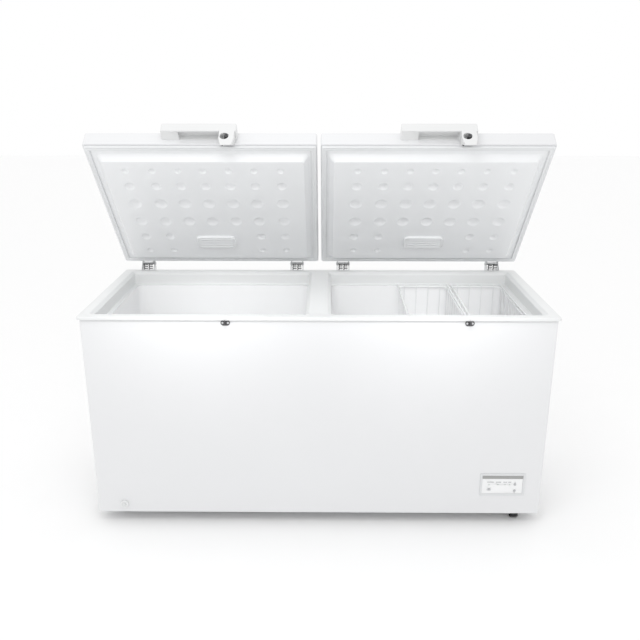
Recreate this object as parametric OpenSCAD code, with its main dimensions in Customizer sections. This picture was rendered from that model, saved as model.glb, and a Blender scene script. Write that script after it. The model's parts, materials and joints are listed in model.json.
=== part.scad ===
// Two-lid chest freezer, standing on four rollers, with both lids propped open.

/* [Overall size] */
// Width across the top frame
overall_w = 1650; // [1350:10:2000]
// Depth across the top frame
overall_d = 663; // [580:1:820]
// Height from the base plate's underside to the top frame
body_h = 763; // [680:1:920]
// Clearance under the base plate
castor_h = 42; // [36:1:60]
// How far the top frame stands out past the steel case
overhang = 8; // [5:0.5:12]

/* [Walls] */
// Steel case thickness
sheet_t = 1; // [0.6:0.1:1.5]
// Corner radius at the front of the steel case
case_r = 9; // [4:0.5:14]
// Base plate thickness
base_t = 1.5; // [1:0.1:3]
// Wall from the case's outer face to the inside of a tank
wall = 57; // [50:1:75]
// Floor from the base plate's underside to the inside of a tank
floor_wall = 63; // [50:1:90]
// Width of the partition between the tanks
partition_w = 94; // [80:1:120]
// Tank wall thickness
tub_t = 2; // [1:0.5:3]
// Tank corner radius
tub_r = 30; // [15:1:45]

/* [Top frame] */
// Width of the flat top face
deck_w = 36; // [32:1:38]
// Thickness of the frame's plastic
frame_t = 2.5; // [2:0.5:4]
// Depth of the outer lip
lip_h = 11; // [8:1:14]
// Width of the chamfer round each opening
chamfer_w = 11; // [6:1:11]
// Height of the chamfer round each opening
chamfer_h = 10; // [6:1:14]
// Depth from the top face to the basket ledge
ledge_z = 50; // [36:1:70]

/* [Compressor bay] */
// Width of the bay
bay_w = 255; // [230:1:300]
// Height of the bay
bay_h = 300; // [260:1:340]
// Height of the compressor
compressor_h = 175; // [150:1:200]
// Diameter of the compressor
compressor_d = 150; // [120:1:170]
// Diameter of the tube coils
coil_d = 8; // [5:1:9]
// Turns in each tube coil
coil_turns = 6; // [3:1:7]
// Distance between turns
coil_pitch = 50; // [30:1:55]

/* [Lids] */
// Gap between the two lids
lid_gap = 13; // [6:1:20]
// How far the lids reach past the front of the top frame
lid_reach = 4.5; // [2:0.5:8]
// Thickness of a lid's outer case
lid_t = 57; // [45:1:75]
// Angle that the lids stand open
lid_open = 50.6; // [0:0.1:90]
// Height of the squeezed gasket
gasket_h = 8; // [6:0.5:12]
// Width of the gasket
gasket_w = 18; // [12:1:20]
// How far the inner plug hangs below the lid
plug_drop = 25; // [15:1:32]
// Slope width round the plug
plug_slope = 18; // [8:1:24]
// Thickness of the lid's plastic lining
lining_t = 3; // [2.5:0.5:4]
// Depth of the dimples
dimple_depth = 2.2; // [1:0.1:2.3]
// Distance between dimple columns
dimple_pitch = 91; // [70:1:92]
// Width of the lamp cover
lamp_w = 158; // [110:1:190]
// Depth of the lamp cover from front to back
lamp_d = 70; // [50:1:76]

/* [Hinges] */
// Hinge distance from the middle of its lid
hinge_offset = 317.5; // [230:0.5:370]
// Hinge pin behind the top frame
hinge_back = 33; // [31:1:38]
// Hinge pin above the top frame
hinge_rise = 18; // [17:1:22]
// Hinge pin diameter
pin_d = 8; // [6:0.5:9]
// Spring coil diameter
spring_d = 19; // [15:0.5:19]
// Spring wire diameter
spring_wire = 3.4; // [2:0.2:4]

/* [Handles and locks] */
// Handle width
handle_w = 262; // [240:1:320]
// Handle height
handle_h = 37; // [30:1:42]
// How far the handle stands out from the lid
handle_reach = 43; // [40:1:60]
// Width of the finger recess
grip_w = 142; // [100:1:142]
// Wall in front of the finger recess
grip_wall = 7; // [4:0.5:9]
// Height of the finger recess from the handle's lower edge
grip_h = 23; // [15:1:25]
// Lock distance from the middle of its lid
lock_offset = 99; // [99:1:101]
// Width of the lock tab
tab_w = 53; // [50:1:56]
// Width of the lock tab at its lower end
tab_end_w = 38; // [34:1:48]
// Lower end of the tab below the top frame
tab_drop = 38; // [34:1:44]
// Rise of the tab's lower end for each mm back towards the lid
tab_slope = 1.2; // [1.1:0.05:1.3]
// Lock cylinder diameter
lock_d = 16; // [12:1:18]
// Radius from the cylinder's axis to the middle of the hook
hook_r = 20.7; // [20:0.1:21]

/* [Baskets] */
// Basket width
basket_w = 212; // [150:1:230]
// Space between the two baskets
basket_gap = 10; // [6:1:30]
// Basket depth below its rim
basket_h = 185; // [120:1:230]
// Distance between the basket's bars
bar_pitch = 27; // [20:1:40]
// Bar thickness
bar_t = 4; // [3:0.5:6]

/* [Control panel] */
// Width of the panel's frame
panel_w = 164; // [150:1:190]
// Height of the panel's frame
panel_h = 90; // [80:1:110]
// Middle of the panel from the top frame's right edge
panel_inset = 152; // [110:1:152]
// Middle of the panel below the top frame
panel_z = 642; // [560:1:642]
// Button diameter
button_d = 9; // [7:0.5:10]

/* [Drain] */
// Drain distance from the top frame's left edge
drain_inset = 106; // [100:1:140]
// Drain bore diameter
drain_d = 12; // [10:1:14]
// Drain cap diameter
cap_d = 30; // [26:1:36]

/* [Rollers] */
// Wheel diameter
wheel_d = 37; // [30:1:37]
// Wheel width
wheel_w = 27; // [20:1:30]
// Wheel middle from the top frame's side edges
castor_inset = 89.5; // [70:0.5:110]
// Right front axle behind the top frame's front edge
front_set = 53.6; // [45:0.2:90]
// Left front axle behind the top frame's front edge
left_set = 95; // [60:1:140]
// Rear axles in front of the top frame's rear edge
rear_set = 70; // [50:1:110]

/* [Hidden] */

$fn = 64;
left = -1;
right = 1;
cut = 1;  // how far a cutting shape runs past what it cuts
seat = 0.3;  // clearance between pieces that move past each other
running = 0.05;  // radial clearance of a turning fit

half_w = overall_w / 2;
case_w = half_w - overhang;  // outer half width of the steel case
case_front = overhang - overall_d;
case_back = -overhang;
base_z = -body_h;
floor_z = base_z + floor_wall;  // inside floor of the tanks
half_partition = partition_w / 2;
tank_out = case_w - wall;  // far inner wall of each tank from the middle
tank_front = case_front + wall;
tank_back = case_back - wall;
bay_x = case_w - sheet_t - bay_w;
bay_top = base_z + bay_h;
step_x = bay_x - wall;  // where the right tank's floor steps up
step_z = bay_top + wall;

frame_gap = deck_w + chamfer_w;  // outer edge of the frame to its inner wall
frame_in = half_w - frame_gap;
frame_front = frame_gap - overall_d;
frame_back = -frame_gap;
frame_mid = half_partition - tub_t;  // partition's cover, half width

lid_w = (overall_w - lid_gap) / 2;
lid_x = (lid_gap + lid_w) / 2;
lid_d = overall_d + lid_reach;
lid_front = -lid_d;
lid_top = gasket_h + lid_t;

strike_reach = 27;  // lock strike ahead of the case
front_most = case_front - strike_reach;
rear_most = hinge_back * (1 - cos(lid_open)) + (lid_top - hinge_rise) * sin(lid_open);
back_y = -(front_most + rear_most) / 2;
top_z = castor_h + body_h;

// places a piece that is drawn from the middle of the top frame's rear edge
module in_cabinet() {
    translate([0, back_y, top_z]) children();
}

// swings a piece, drawn with its lid shut and x from the lid's middle
module in_lid(side) {
    in_cabinet()
        translate([side * lid_x, hinge_back, hinge_rise])
            rotate([-lid_open, 0, 0])
                translate([0, -hinge_back, -hinge_rise]) children();
}

module block(x0, x1, y0, y1, z0, z1) {
    translate([x0, y0, z0]) cube([x1 - x0, y1 - y0, z1 - z0]);
}

module rounded(w, d, r) {
    union() {
        square([w - 2 * r, d], center = true);
        square([w, d - 2 * r], center = true);
        for (sx = [-1, 1], sy = [-1, 1]) {
            translate([sx * (w / 2 - r), sy * (d / 2 - r)]) circle(r = r);
        }
    }
}

module rounded_block(x0, x1, y0, y1, z0, z1, r) {
    translate([(x0 + x1) / 2, (y0 + y1) / 2, z0])
        linear_extrude(z1 - z0) rounded(x1 - x0, y1 - y0, r);
}

// a block whose four sides lean in by slope from z_wide to z_narrow
module tapered_block(x0, x1, y0, y1, z_wide, z_narrow, slope) {
    intersection() {
        translate([0, y1, 0]) rotate([90, 0, 0]) linear_extrude(y1 - y0)
            polygon([[x0, z_wide], [x1, z_wide], [x1 - slope, z_narrow], [x0 + slope, z_narrow]]);
        translate([x0, 0, 0]) rotate([90, 0, 90]) linear_extrude(x1 - x0)
            polygon([[y0, z_wide], [y1, z_wide], [y1 - slope, z_narrow], [y0 + slope, z_narrow]]);
    }
}

module rod_x(x0, x1, y, z, d) {
    translate([x0, y, z]) rotate([0, 90, 0]) cylinder(d = d, h = x1 - x0);
}

module rod_y(y0, y1, x, z, d) {
    translate([x, y1, z]) rotate([90, 0, 0]) cylinder(d = d, h = y1 - y0);
}

module rod_z(z0, z1, x, y, d) {
    translate([x, y, z0]) cylinder(d = d, h = z1 - z0);
}

// extrudes an outline of [y, z] points along x
module side_plate(x0, x1, outline) {
    translate([x0, 0, 0]) rotate([90, 0, 90]) linear_extrude(x1 - x0) polygon(outline);
}

// Steel case

cover_margin = 14;  // service cover past its opening
cover_x0 = bay_x + 14;
cover_x1 = case_w - 24;
cover_z0 = base_z + 16;
cover_z1 = bay_top - 16;
panel_x = half_w - panel_inset;
bezel_lip = 5;  // bezel past its cut-out

case_flank = case_front + case_r + 6;  // where the front sheet ends and the side sheets start

// the case seen from above, with round front corners, drawn inside its outer faces
module case_outline(inset) {
    union() {
        translate([-case_w + inset, case_front + case_r])
            square([2 * (case_w - inset), case_back - inset - case_front - case_r]);
        translate([-case_w + case_r, case_front + inset]) square([2 * (case_w - case_r), case_r]);
        for (sx = [-1, 1]) {
            translate([sx * (case_w - case_r), case_front + case_r]) circle(r = case_r - inset);
        }
    }
}

module front_panel() color("white") in_cabinet() {
    difference() {
        translate([0, 0, base_z]) linear_extrude(-frame_t - base_z) difference() {
            case_outline(0);
            case_outline(sheet_t);
            translate([-half_w, case_flank]) square([overall_w, overall_d]);
        }
        block(panel_x - panel_w / 2 + bezel_lip, panel_x + panel_w / 2 - bezel_lip,
            case_front - cut, case_front + sheet_t + cut,
            -panel_z - panel_h / 2 + bezel_lip, -panel_z + panel_h / 2 - bezel_lip);
        rod_y(case_front - cut, case_front + sheet_t + cut, drain_x, drain_z, drain_passage);
    }
}

module left_side_panel() color("white") in_cabinet() {
    block(-case_w, -case_w + sheet_t, case_flank, case_back - sheet_t, base_z, -frame_t);
}

louvre_count = 8;
louvre_pitch = 22;
louvre_h = 6;
louvre_l = 130;
louvre_y = case_front + 150;  // middle of the louvres

module right_side_panel() color("white") in_cabinet() {
    difference() {
        block(case_w - sheet_t, case_w, case_flank, case_back - sheet_t, base_z, -frame_t);
        for (i = [0 : louvre_count - 1]) {
            translate([case_w - sheet_t / 2, louvre_y, base_z + 60 + i * louvre_pitch])
                cube([sheet_t + 2 * cut, louvre_l, louvre_h], center = true);
        }
    }
}

module back_panel() color("gainsboro") in_cabinet() {
    difference() {
        block(-case_w, case_w, case_back - sheet_t, case_back, base_z, -frame_t);
        block(cover_x0, cover_x1, case_back - sheet_t - cut, case_back + cut, cover_z0, cover_z1);
    }
}

module base_plate() color("silver") in_cabinet() {
    difference() {
        translate([0, 0, base_z]) linear_extrude(base_t) case_outline(sheet_t);
        for (i = [0 : 4]) {
            block(bay_x + 30 + i * 40, bay_x + 48 + i * 40, case_front + 60, case_front + 130,
                base_z - cut, base_z + base_t + cut);
        }
    }
}

cover_screws = [[cover_x0 - 6, cover_z0 - 6], [cover_x1 + 6, cover_z0 - 6],
    [cover_x0 - 6, cover_z1 + 6], [cover_x1 + 6, cover_z1 + 6]];

module service_cover() color("silver") in_cabinet() {
    difference() {
        block(cover_x0 - cover_margin, cover_x1 + cover_margin, case_back, case_back + sheet_t,
            cover_z0 - cover_margin, cover_z1 + cover_margin);
        for (i = [0 : 7]) {
            block(cover_x0 + 20, cover_x1 - 20, case_back - cut, case_back + sheet_t + cut,
                cover_z0 + 30 + i * 20, cover_z0 + 38 + i * 20);
        }
        rod_y(case_back - cut, case_back + sheet_t + cut, gland_x, gland_z, gland_d);
    }
}

// Tanks and insulation

module tank_shape(side, grow, z0, z1) {
    near = half_partition - grow;
    far = tank_out + grow;
    rounded_block(side > 0 ? near : -far, side > 0 ? far : -near,
        tank_front - grow, tank_back + grow, z0, z1, tub_r + grow);
}

// the low part of the right tank, beside the compressor bay
module low_tank_shape(grow, z0, z1) {
    rounded_block(half_partition - grow, step_x + grow, tank_front - grow, tank_back + grow,
        z0, z1, tub_r + grow);
}

rim_z = -ledge_z - frame_t;  // underside of the basket ledge

module left_tank() color("whitesmoke") in_cabinet() {
    difference() {
        tank_shape(left, tub_t, floor_z - tub_t, rim_z);
        tank_shape(left, 0, floor_z, rim_z + cut);
        rod_z(floor_z - tub_t - cut, floor_z + cut, drain_x, drain_y, drain_d + 2 * running);
    }
}

module right_tank() color("whitesmoke") in_cabinet() {
    difference() {
        union() {
            tank_shape(right, tub_t, step_z - tub_t, rim_z);
            low_tank_shape(tub_t, floor_z - tub_t, step_z - tub_t);
        }
        tank_shape(right, 0, step_z, rim_z + cut);
        low_tank_shape(0, floor_z, step_z + cut);
    }
}

groove = coil_d + 2;  // width of the channel that a tube lies in
bend_r = 24;  // bend radius of the coils
coil_top = -ledge_z - 55;

module coil_slab(side, z) {
    near = half_partition - tub_t - groove;
    far = tank_out + tub_t + groove;
    block(side > 0 ? near : -far, side > 0 ? far : -near, tank_front - tub_t - groove,
        tank_back + tub_t + groove, z - groove / 2, z + groove / 2);
}

riser_y = (tank_front + tank_back) / 2;

module case_coil_slab(z) {
    difference() {
        block(-case_w, case_w, case_front, case_back, z - groove / 2, z + groove / 2);
        rounded_block(-case_w + sheet_t + groove, case_w - sheet_t - groove,
            case_front + sheet_t + groove, case_back - sheet_t - groove,
            z - groove, z + groove, bend_r - groove / 2);
    }
}

case_coil_top = coil_top - coil_pitch / 2;

module cabinet_foam() color("khaki") in_cabinet() {
    coil_low = coil_top - (coil_turns - 1) * coil_pitch;
    difference() {
        translate([0, 0, base_z + base_t]) linear_extrude(-frame_t - base_z - base_t)
            case_outline(sheet_t);
        for (side = [left, right]) {
            frame_wall(side);
            for (i = [0 : coil_turns - 1]) {
                coil_slab(side, coil_top - i * coil_pitch);
            }
            // channel for the tube that joins the turns
            block(side * tank_out - tub_t - groove, side * tank_out + tub_t + groove,
                riser_y - groove / 2, riser_y + groove / 2, coil_low, coil_top);
        }
        tank_shape(left, tub_t, floor_z - tub_t, 0);
        tank_shape(right, tub_t, step_z - tub_t, 0);
        low_tank_shape(tub_t, floor_z - tub_t, step_z);
        for (i = [0 : coil_turns - 2]) {
            case_coil_slab(case_coil_top - i * coil_pitch);
        }
        block(-case_w, -case_w + sheet_t + groove, riser_y - groove / 2, riser_y + groove / 2,
            case_coil_top - (coil_turns - 2) * coil_pitch, case_coil_top);
        block(bay_x, case_w, case_front, case_back, base_z, bay_top);
        // drain passage
        rod_z(drain_z, floor_z, drain_x, drain_y, drain_passage);
        rod_y(case_front, drain_y, drain_x, drain_z, drain_passage);
        translate([drain_x, drain_y, drain_z]) cube(drain_passage + 2 * seat, center = true);
    }
}

module quarter_bend(x, y, z, start) {
    translate([x, y, z]) rotate([0, 0, start]) rotate_extrude(angle = 90)
        translate([bend_r, 0]) circle(d = coil_d);
}

// one closed turn of tube round a rectangle
module coil_turn(x0, x1, y0, y1, z) {
    rod_x(x0 + bend_r, x1 - bend_r, y0, z, coil_d);
    rod_x(x0 + bend_r, x1 - bend_r, y1, z, coil_d);
    rod_y(y0 + bend_r, y1 - bend_r, x0, z, coil_d);
    rod_y(y0 + bend_r, y1 - bend_r, x1, z, coil_d);
    quarter_bend(x1 - bend_r, y1 - bend_r, z, 0);
    quarter_bend(x0 + bend_r, y1 - bend_r, z, 90);
    quarter_bend(x0 + bend_r, y0 + bend_r, z, 180);
    quarter_bend(x1 - bend_r, y0 + bend_r, z, 270);
}

tube_out = tub_t + groove / 2;  // tube's middle from the inside of the tank

module evaporator_coil() color("peru") in_cabinet() {
    for (side = [left, right]) {
        near = half_partition - tube_out;
        far = tank_out + tube_out;
        for (i = [0 : coil_turns - 1]) {
            coil_turn(side > 0 ? near : -far, side > 0 ? far : -near,
                tank_front - tube_out, tank_back + tube_out, coil_top - i * coil_pitch);
        }
        rod_z(coil_top - (coil_turns - 1) * coil_pitch, coil_top, side * far, riser_y, coil_d);
    }
}

module condenser_coil() color("darkslategray") in_cabinet() {
    edge = sheet_t + groove / 2;
    for (i = [0 : coil_turns - 2]) {
        coil_turn(-case_w + edge, case_w - edge, case_front + edge, case_back - edge,
            case_coil_top - i * coil_pitch);
    }
    rod_z(case_coil_top - (coil_turns - 2) * coil_pitch, case_coil_top, -case_w + edge, riser_y, coil_d);
}

// Top frame

module frame_opening(side) {
    x0 = side > 0 ? frame_mid : -frame_in;
    x1 = side > 0 ? frame_in : -frame_mid;
    block(x0, x1, frame_front, frame_back, -ledge_z, cut);
    tapered_block(x0 - chamfer_w, x1 + chamfer_w, frame_front - chamfer_w, frame_back + chamfer_w,
        0, -chamfer_h, chamfer_w);
    block(x0 - chamfer_w, x1 + chamfer_w, frame_front - chamfer_w, frame_back + chamfer_w, 0, cut);
    tank_shape(side, 0, -ledge_z - frame_t - cut, -ledge_z + cut);
}

// outside of the frame's wall and chamfer round one opening
module frame_wall(side) {
    x0 = (side > 0 ? frame_mid : -frame_in) - frame_t;
    x1 = (side > 0 ? frame_in : -frame_mid) + frame_t;
    block(x0, x1, frame_front - frame_t, frame_back + frame_t, rim_z, -frame_t / 2);
    tapered_block(x0 - chamfer_w, x1 + chamfer_w, frame_front - frame_t - chamfer_w,
        frame_back + frame_t + chamfer_w, -frame_t / 2, -chamfer_h - frame_t / 2, chamfer_w);
}

module top_frame() color("white") in_cabinet() {
    difference() {
        union() {
            difference() {
                block(-half_w, half_w, -overall_d, 0, -lip_h, 0);
                block(-half_w + frame_t, half_w - frame_t, -overall_d + frame_t, -frame_t,
                    -lip_h - cut, -frame_t);
            }
            for (side = [left, right]) {
                frame_wall(side);
            }
        }
        frame_opening(left);
        frame_opening(right);
    }
}

// Refrigeration

compressor_x = (bay_x + case_w) / 2;
compressor_y = case_back - 200;
foot_w = compressor_d + 20;
foot_d = compressor_d + 50;
foot_t = 3;
grommet_h = 14;
grommet_d = 24;
compressor_z = base_z + base_t + grommet_h;
bolt_d = 8;

module grommet_places() {
    for (sx = [-1, 1], sy = [-1, 1]) {
        translate([compressor_x + sx * (foot_w / 2 - 20), compressor_y + sy * (foot_d / 2 - 18),
            base_z + base_t]) children();
    }
}

module compressor_shell() {
    rotate_extrude() intersection() {
        square([compressor_d, compressor_h]);
        translate([0, compressor_h / 2]) rounded(compressor_d, compressor_h, 34);
    }
}

module compressor() color("black") in_cabinet() {
    difference() {
        union() {
            translate([compressor_x, compressor_y, compressor_z]) {
                linear_extrude(foot_t) rounded(foot_w, foot_d, 12);
                compressor_shell();
                // weld seam
                translate([0, 0, compressor_h / 2 - 3]) cylinder(d = compressor_d + 8, h = 6);
            }
        }
        grommet_places() translate([0, 0, grommet_h - cut]) cylinder(d = bolt_d, h = foot_t + 2 * cut);
    }
}

module compressor_grommets() color("dimgray") in_cabinet() {
    grommet_places() union() {
        cylinder(d = grommet_d, h = grommet_h);
        cylinder(d = bolt_d, h = grommet_h + foot_t + 4);
        translate([0, 0, grommet_h + foot_t]) cylinder(d = bolt_d + 6, h = 4);
    }
}

relay_t = 26;
relay_side = compressor_x - compressor_d / 2 - relay_t - 2;

module relay_cover() color("dimgray") in_cabinet() {
    difference() {
        block(relay_side, relay_side + relay_t + 14, compressor_y - 32, compressor_y + 32,
            compressor_z + 30, compressor_z + 84);
        translate([compressor_x, compressor_y, compressor_z]) {
            cylinder(d = compressor_d + 0.2, h = compressor_h);
            translate([0, 0, compressor_h / 2 - 4]) cylinder(d = compressor_d + 10, h = 8);
        }
    }
}

pipe_d = 8;
pipe_x = compressor_x + 20;
pipe_y = compressor_y - compressor_d / 2;
pipe_z = compressor_z + 40;
drier_y = pipe_y - 90;
drier_z = compressor_z + 150;
drier_d = 19;
drier_l = 90;
drier_cone = 8;

// suction, discharge and capillary runs between the compressor, the drier and the bay's roof
module refrigerant_pipes() color("peru") in_cabinet() {
    difference() {
        union() {
            riser_pipe(pipe_x, pipe_y - 40);
            riser_pipe(pipe_x - 40, pipe_y - 60);
        }
        translate([compressor_x, compressor_y, compressor_z]) compressor_shell();
    }
    rod_z(drier_z + drier_l / 2 + drier_cone, bay_top, pipe_x - 20, drier_y, pipe_d / 2);
}

// leaves the shell towards the front and turns up to the bay's roof
module riser_pipe(x, y) {
    rod_y(y, pipe_y + 30, x, pipe_z, pipe_d);
    translate([x, y, pipe_z]) sphere(d = pipe_d);
    rod_z(pipe_z, bay_top, x, y, pipe_d);
}

module filter_drier() color("peru") in_cabinet() {
    translate([pipe_x - 20, drier_y, drier_z]) union() {
        translate([0, 0, -drier_l / 2]) cylinder(d = drier_d, h = drier_l);
        translate([0, 0, drier_l / 2]) cylinder(d1 = drier_d, d2 = pipe_d / 2, h = drier_cone);
        translate([0, 0, -drier_l / 2 - drier_cone])
            cylinder(d1 = pipe_d / 2, d2 = drier_d, h = drier_cone);
    }
    // strap to the bay's foam wall
    block(bay_x, pipe_x - 20 - drier_d / 2 + 2, drier_y - 5, drier_y + 5, drier_z - 1, drier_z + 1);
}

gland_x = cover_x1 - 40;
gland_z = cover_z0 + 12;
gland_d = 12;

module cord_gland() color("black") in_cabinet() {
    difference() {
        union() {
            rod_y(case_back - 8, case_back + sheet_t + 12, gland_x, gland_z, gland_d - 0.1);
            rod_y(case_back + sheet_t, case_back + sheet_t + 4, gland_x, gland_z, gland_d + 7);
        }
        rod_y(case_back - 8 - cut, case_back + sheet_t + 12 + cut, gland_x, gland_z, 7);
    }
}

// Control panel

bezel_out = 3;  // bezel ahead of the case
bezel_wall = 3;
cut_w = panel_w - 2 * bezel_lip;
cut_h = panel_h - 2 * bezel_lip;
fascia_w = cut_w - 2 * bezel_wall - 0.4;
fascia_h = cut_h - 2 * bezel_wall - 0.4;
fascia_t = 2;
fascia_y = case_front - 1;  // front of the fascia
bezel_back = case_front + 26;

module control_bezel() color("gainsboro") in_cabinet() translate([panel_x, 0, -panel_z]) {
    difference() {
        union() {
            block(-panel_w / 2, panel_w / 2, case_front - bezel_out, case_front,
                -panel_h / 2, panel_h / 2);
            block(-cut_w / 2 + 0.1, cut_w / 2 - 0.1, case_front, bezel_back,
                -cut_h / 2 + 0.1, cut_h / 2 - 0.1);
        }
        block(-cut_w / 2 + bezel_wall, cut_w / 2 - bezel_wall, case_front - bezel_out - cut,
            bezel_back - bezel_wall, -cut_h / 2 + bezel_wall, cut_h / 2 - bezel_wall);
    }
}

// [x, z] from the panel's middle
power_at = [-48, -19];
up_at = [46, 1];
down_at = [46, -25];
lamp_at = [[-48.5, 0], [-16, 0], [10, 0], [26.5, 0]];
lens_d = 4;
strip_h = 11;  // recessed grip strip along the top of the fascia

module control_fascia() color("white") in_cabinet() translate([panel_x, 0, -panel_z]) {
    difference() {
        union() {
            block(-fascia_w / 2, fascia_w / 2, fascia_y, fascia_y + fascia_t,
                -fascia_h / 2, fascia_h / 2 - strip_h);
            block(-fascia_w / 2, fascia_w / 2, fascia_y + 6, fascia_y + 6 + fascia_t,
                fascia_h / 2 - strip_h - fascia_t, fascia_h / 2);
            block(-fascia_w / 2, fascia_w / 2, fascia_y, fascia_y + 6 + fascia_t,
                fascia_h / 2 - strip_h - fascia_t, fascia_h / 2 - strip_h);
        }
        for (at = [power_at, up_at, down_at]) {
            rod_y(fascia_y - cut, fascia_y + fascia_t + cut, at.x, at.y, button_d + 2 * seat);
        }
        for (at = lamp_at) {
            rod_y(fascia_y - cut, fascia_y + fascia_t + cut, at.x, at.y, lens_d);
        }
    }
}

board_y = fascia_y + 12;

module control_board() color("darkgreen") in_cabinet() translate([panel_x, 0, -panel_z]) {
    block(-fascia_w / 2 + 2, fascia_w / 2 - 2, board_y, board_y + 1.6,
        -fascia_h / 2 + 1, fascia_h / 2 - 1);
    for (at = [power_at, up_at, down_at]) {
        rod_y(board_y - 3, board_y, at.x, at.y, 5);
    }
    block(-30, 10, board_y + 1.6, board_y + 6, -20, 10);
}

module indicator_lenses() color("lightgreen") in_cabinet() translate([panel_x, 0, -panel_z]) {
    for (at = lamp_at) {
        rod_y(fascia_y - 0.4, board_y, at.x, at.y, lens_d - 0.04);
    }
}

button_travel = 1.5;

module button(at) color("lightgray") in_cabinet() translate([panel_x, 0, -panel_z]) union() {
    rod_y(fascia_y - 2, fascia_y + fascia_t + 1, at.x, at.y, button_d);
    rod_y(fascia_y + fascia_t + seat, fascia_y + fascia_t + 1.5, at.x, at.y, button_d + 3);
    rod_y(fascia_y + fascia_t, board_y - 3 - button_travel - seat, at.x, at.y, 3);
}

// Drain

drain_x = -half_w + drain_inset;
drain_y = tank_front + 41;
drain_wall = 2;
drain_z = floor_z - tub_t - 27;
drain_passage = drain_d + 2 * drain_wall + 2 * running;  // hole round the drain tube
cap_t = 9;
stub_l = 16;

module drain_tube() color("white") in_cabinet() {
    outer = drain_d + 2 * drain_wall;
    difference() {
        union() {
            rod_z(drain_z, floor_z - tub_t, drain_x, drain_y, outer);
            translate([drain_x, drain_y, drain_z]) sphere(d = outer);
            rod_y(case_front, drain_y, drain_x, drain_z, outer);
        }
        rod_z(drain_z, floor_z - tub_t + cut, drain_x, drain_y, drain_d + 2 * running);
        translate([drain_x, drain_y, drain_z]) sphere(d = drain_d + 2 * running);
        rod_y(case_front - cut, drain_y, drain_x, drain_z, drain_d + 2 * running);
    }
}

module drain_cap() color("whitesmoke") in_cabinet() {
    difference() {
        union() {
            rod_y(case_front - cap_t, case_front - seat, drain_x, drain_z, cap_d);
            rod_y(case_front - cut, case_front + stub_l, drain_x, drain_z, drain_d);
        }
        rod_y(case_front - cap_t - cut, case_front - cap_t + 3, drain_x, drain_z, cap_d - 12);
    }
    block(drain_x - 3, drain_x + 3, case_front - cap_t - 1, case_front - cap_t + 4,
        drain_z - cap_d / 2 + 4, drain_z + cap_d / 2 - 4);
}

module drain_stopper() color("dimgray") in_cabinet() {
    rod_z(floor_z - 12, floor_z + 2, drain_x, drain_y, drain_d);
    rod_z(floor_z + seat, floor_z + 4, drain_x, drain_y, drain_d + 10);
    rod_z(floor_z + 3, floor_z + 12, drain_x, drain_y, 6);
}

// Lock strikes and screws

strike_z = -21;
strike_t = 2;
strike_half = 6;  // from the middle to the centre of each round end
strike_h = 20;
strike_screw_x = 9;
tongue_w = 4;
window_d = 6.6;
lock_z = 6;  // lock cylinder's axis above the top frame
window_z = lock_z - hook_r;
hook_y = lid_front - 8;  // middle of the hook's thickness
tongue_top = window_z + window_d / 2 + 3;

module strike_places() {
    for (side = [left, right]) translate([side * lid_x + lock_offset, 0, 0]) children();
}

module lock_strikes() color("silver") in_cabinet() strike_places() {
    difference() {
        union() {
            for (sx = [-1, 1]) {
                rod_y(case_front - strike_t, case_front, sx * strike_half, strike_z, strike_h);
            }
            block(-strike_half, strike_half, case_front - strike_t, case_front,
                strike_z - strike_h / 2, strike_z + strike_h / 2 - 0.5);
            side_plate(-tongue_w / 2, tongue_w / 2, [
                [case_front, -lip_h - 1], [-overall_d - 1.5, -lip_h - 1],
                [-overall_d - 3.5, tongue_top], [front_most, tongue_top],
                [front_most, window_z - window_d / 2 - 3], [case_front, strike_z - 8]]);
        }
        rod_x(-tongue_w, tongue_w, hook_y, window_z, window_d);
    }
}

screw_d = 7;

module screw_head(x, y, z) {
    rod_y(y, y + 2.5, x, z, screw_d);
}

module case_screws() color("silver") in_cabinet() {
    strike_places() for (sx = [-1, 1]) {
        screw_head(sx * strike_screw_x, case_front - strike_t - 2.5, strike_z);
    }
    for (at = cover_screws) screw_head(at.x, case_back + sheet_t, at.y);
    hinge_places(left) hinge_base_screws();
    hinge_places(right) hinge_base_screws();
}

// Hinges

ear_t = 2.5;
arm_t = 2.5;
arm_x = spring_d + 2.5;  // inner face of each arm
ear_x = arm_x + arm_t + seat;
plate_low = -96;
plate_high = -lip_h - 2;
plate_t = 2.5;
spring_foot = -45;
head_t = 3;
spring_head_z = 26;  // underside of the spring head with the lid propped open
spring_y = 3 + spring_d / 2;
hinge_screw_z = [plate_low + 12, plate_low + 34];

module hinge_places(side) {
    for (sx = [-1, 1]) translate([side * lid_x + sx * hinge_offset, 0, 0]) children();
}

module hinge_base_screws() {
    for (sx = [-1, 1], z = hinge_screw_z) {
        screw_head(sx * 14, case_back + plate_t, z);
    }
}

module hinge_base() {
    difference() {
        union() {
            block(-ear_x - ear_t, ear_x + ear_t, case_back, case_back + plate_t,
                plate_low, plate_high);
            for (sx = [-1, 1]) {
                side_plate(sx > 0 ? ear_x : -ear_x - ear_t, sx > 0 ? ear_x + ear_t : -ear_x, [
                    [case_back, plate_low], [8, plate_low],
                    [hinge_back + 10, -10], [hinge_back + 10, hinge_rise + 4],
                    [hinge_back + 4, hinge_rise + 10], [hinge_back - 4, hinge_rise + 10],
                    [seat + 0.5, 4], [seat + 0.5, plate_high], [case_back, plate_high]]);
            }
            block(-ear_x, ear_x, case_back, spring_y + spring_d / 2 + 2,
                spring_foot - 3, spring_foot);
        }
        rod_x(-ear_x - ear_t - cut, ear_x + ear_t + cut, hinge_back, hinge_rise, pin_d);
    }
}

module hinge_bases() color("silver") in_cabinet() {
    hinge_places(left) hinge_base();
    hinge_places(right) hinge_base();
}

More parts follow.
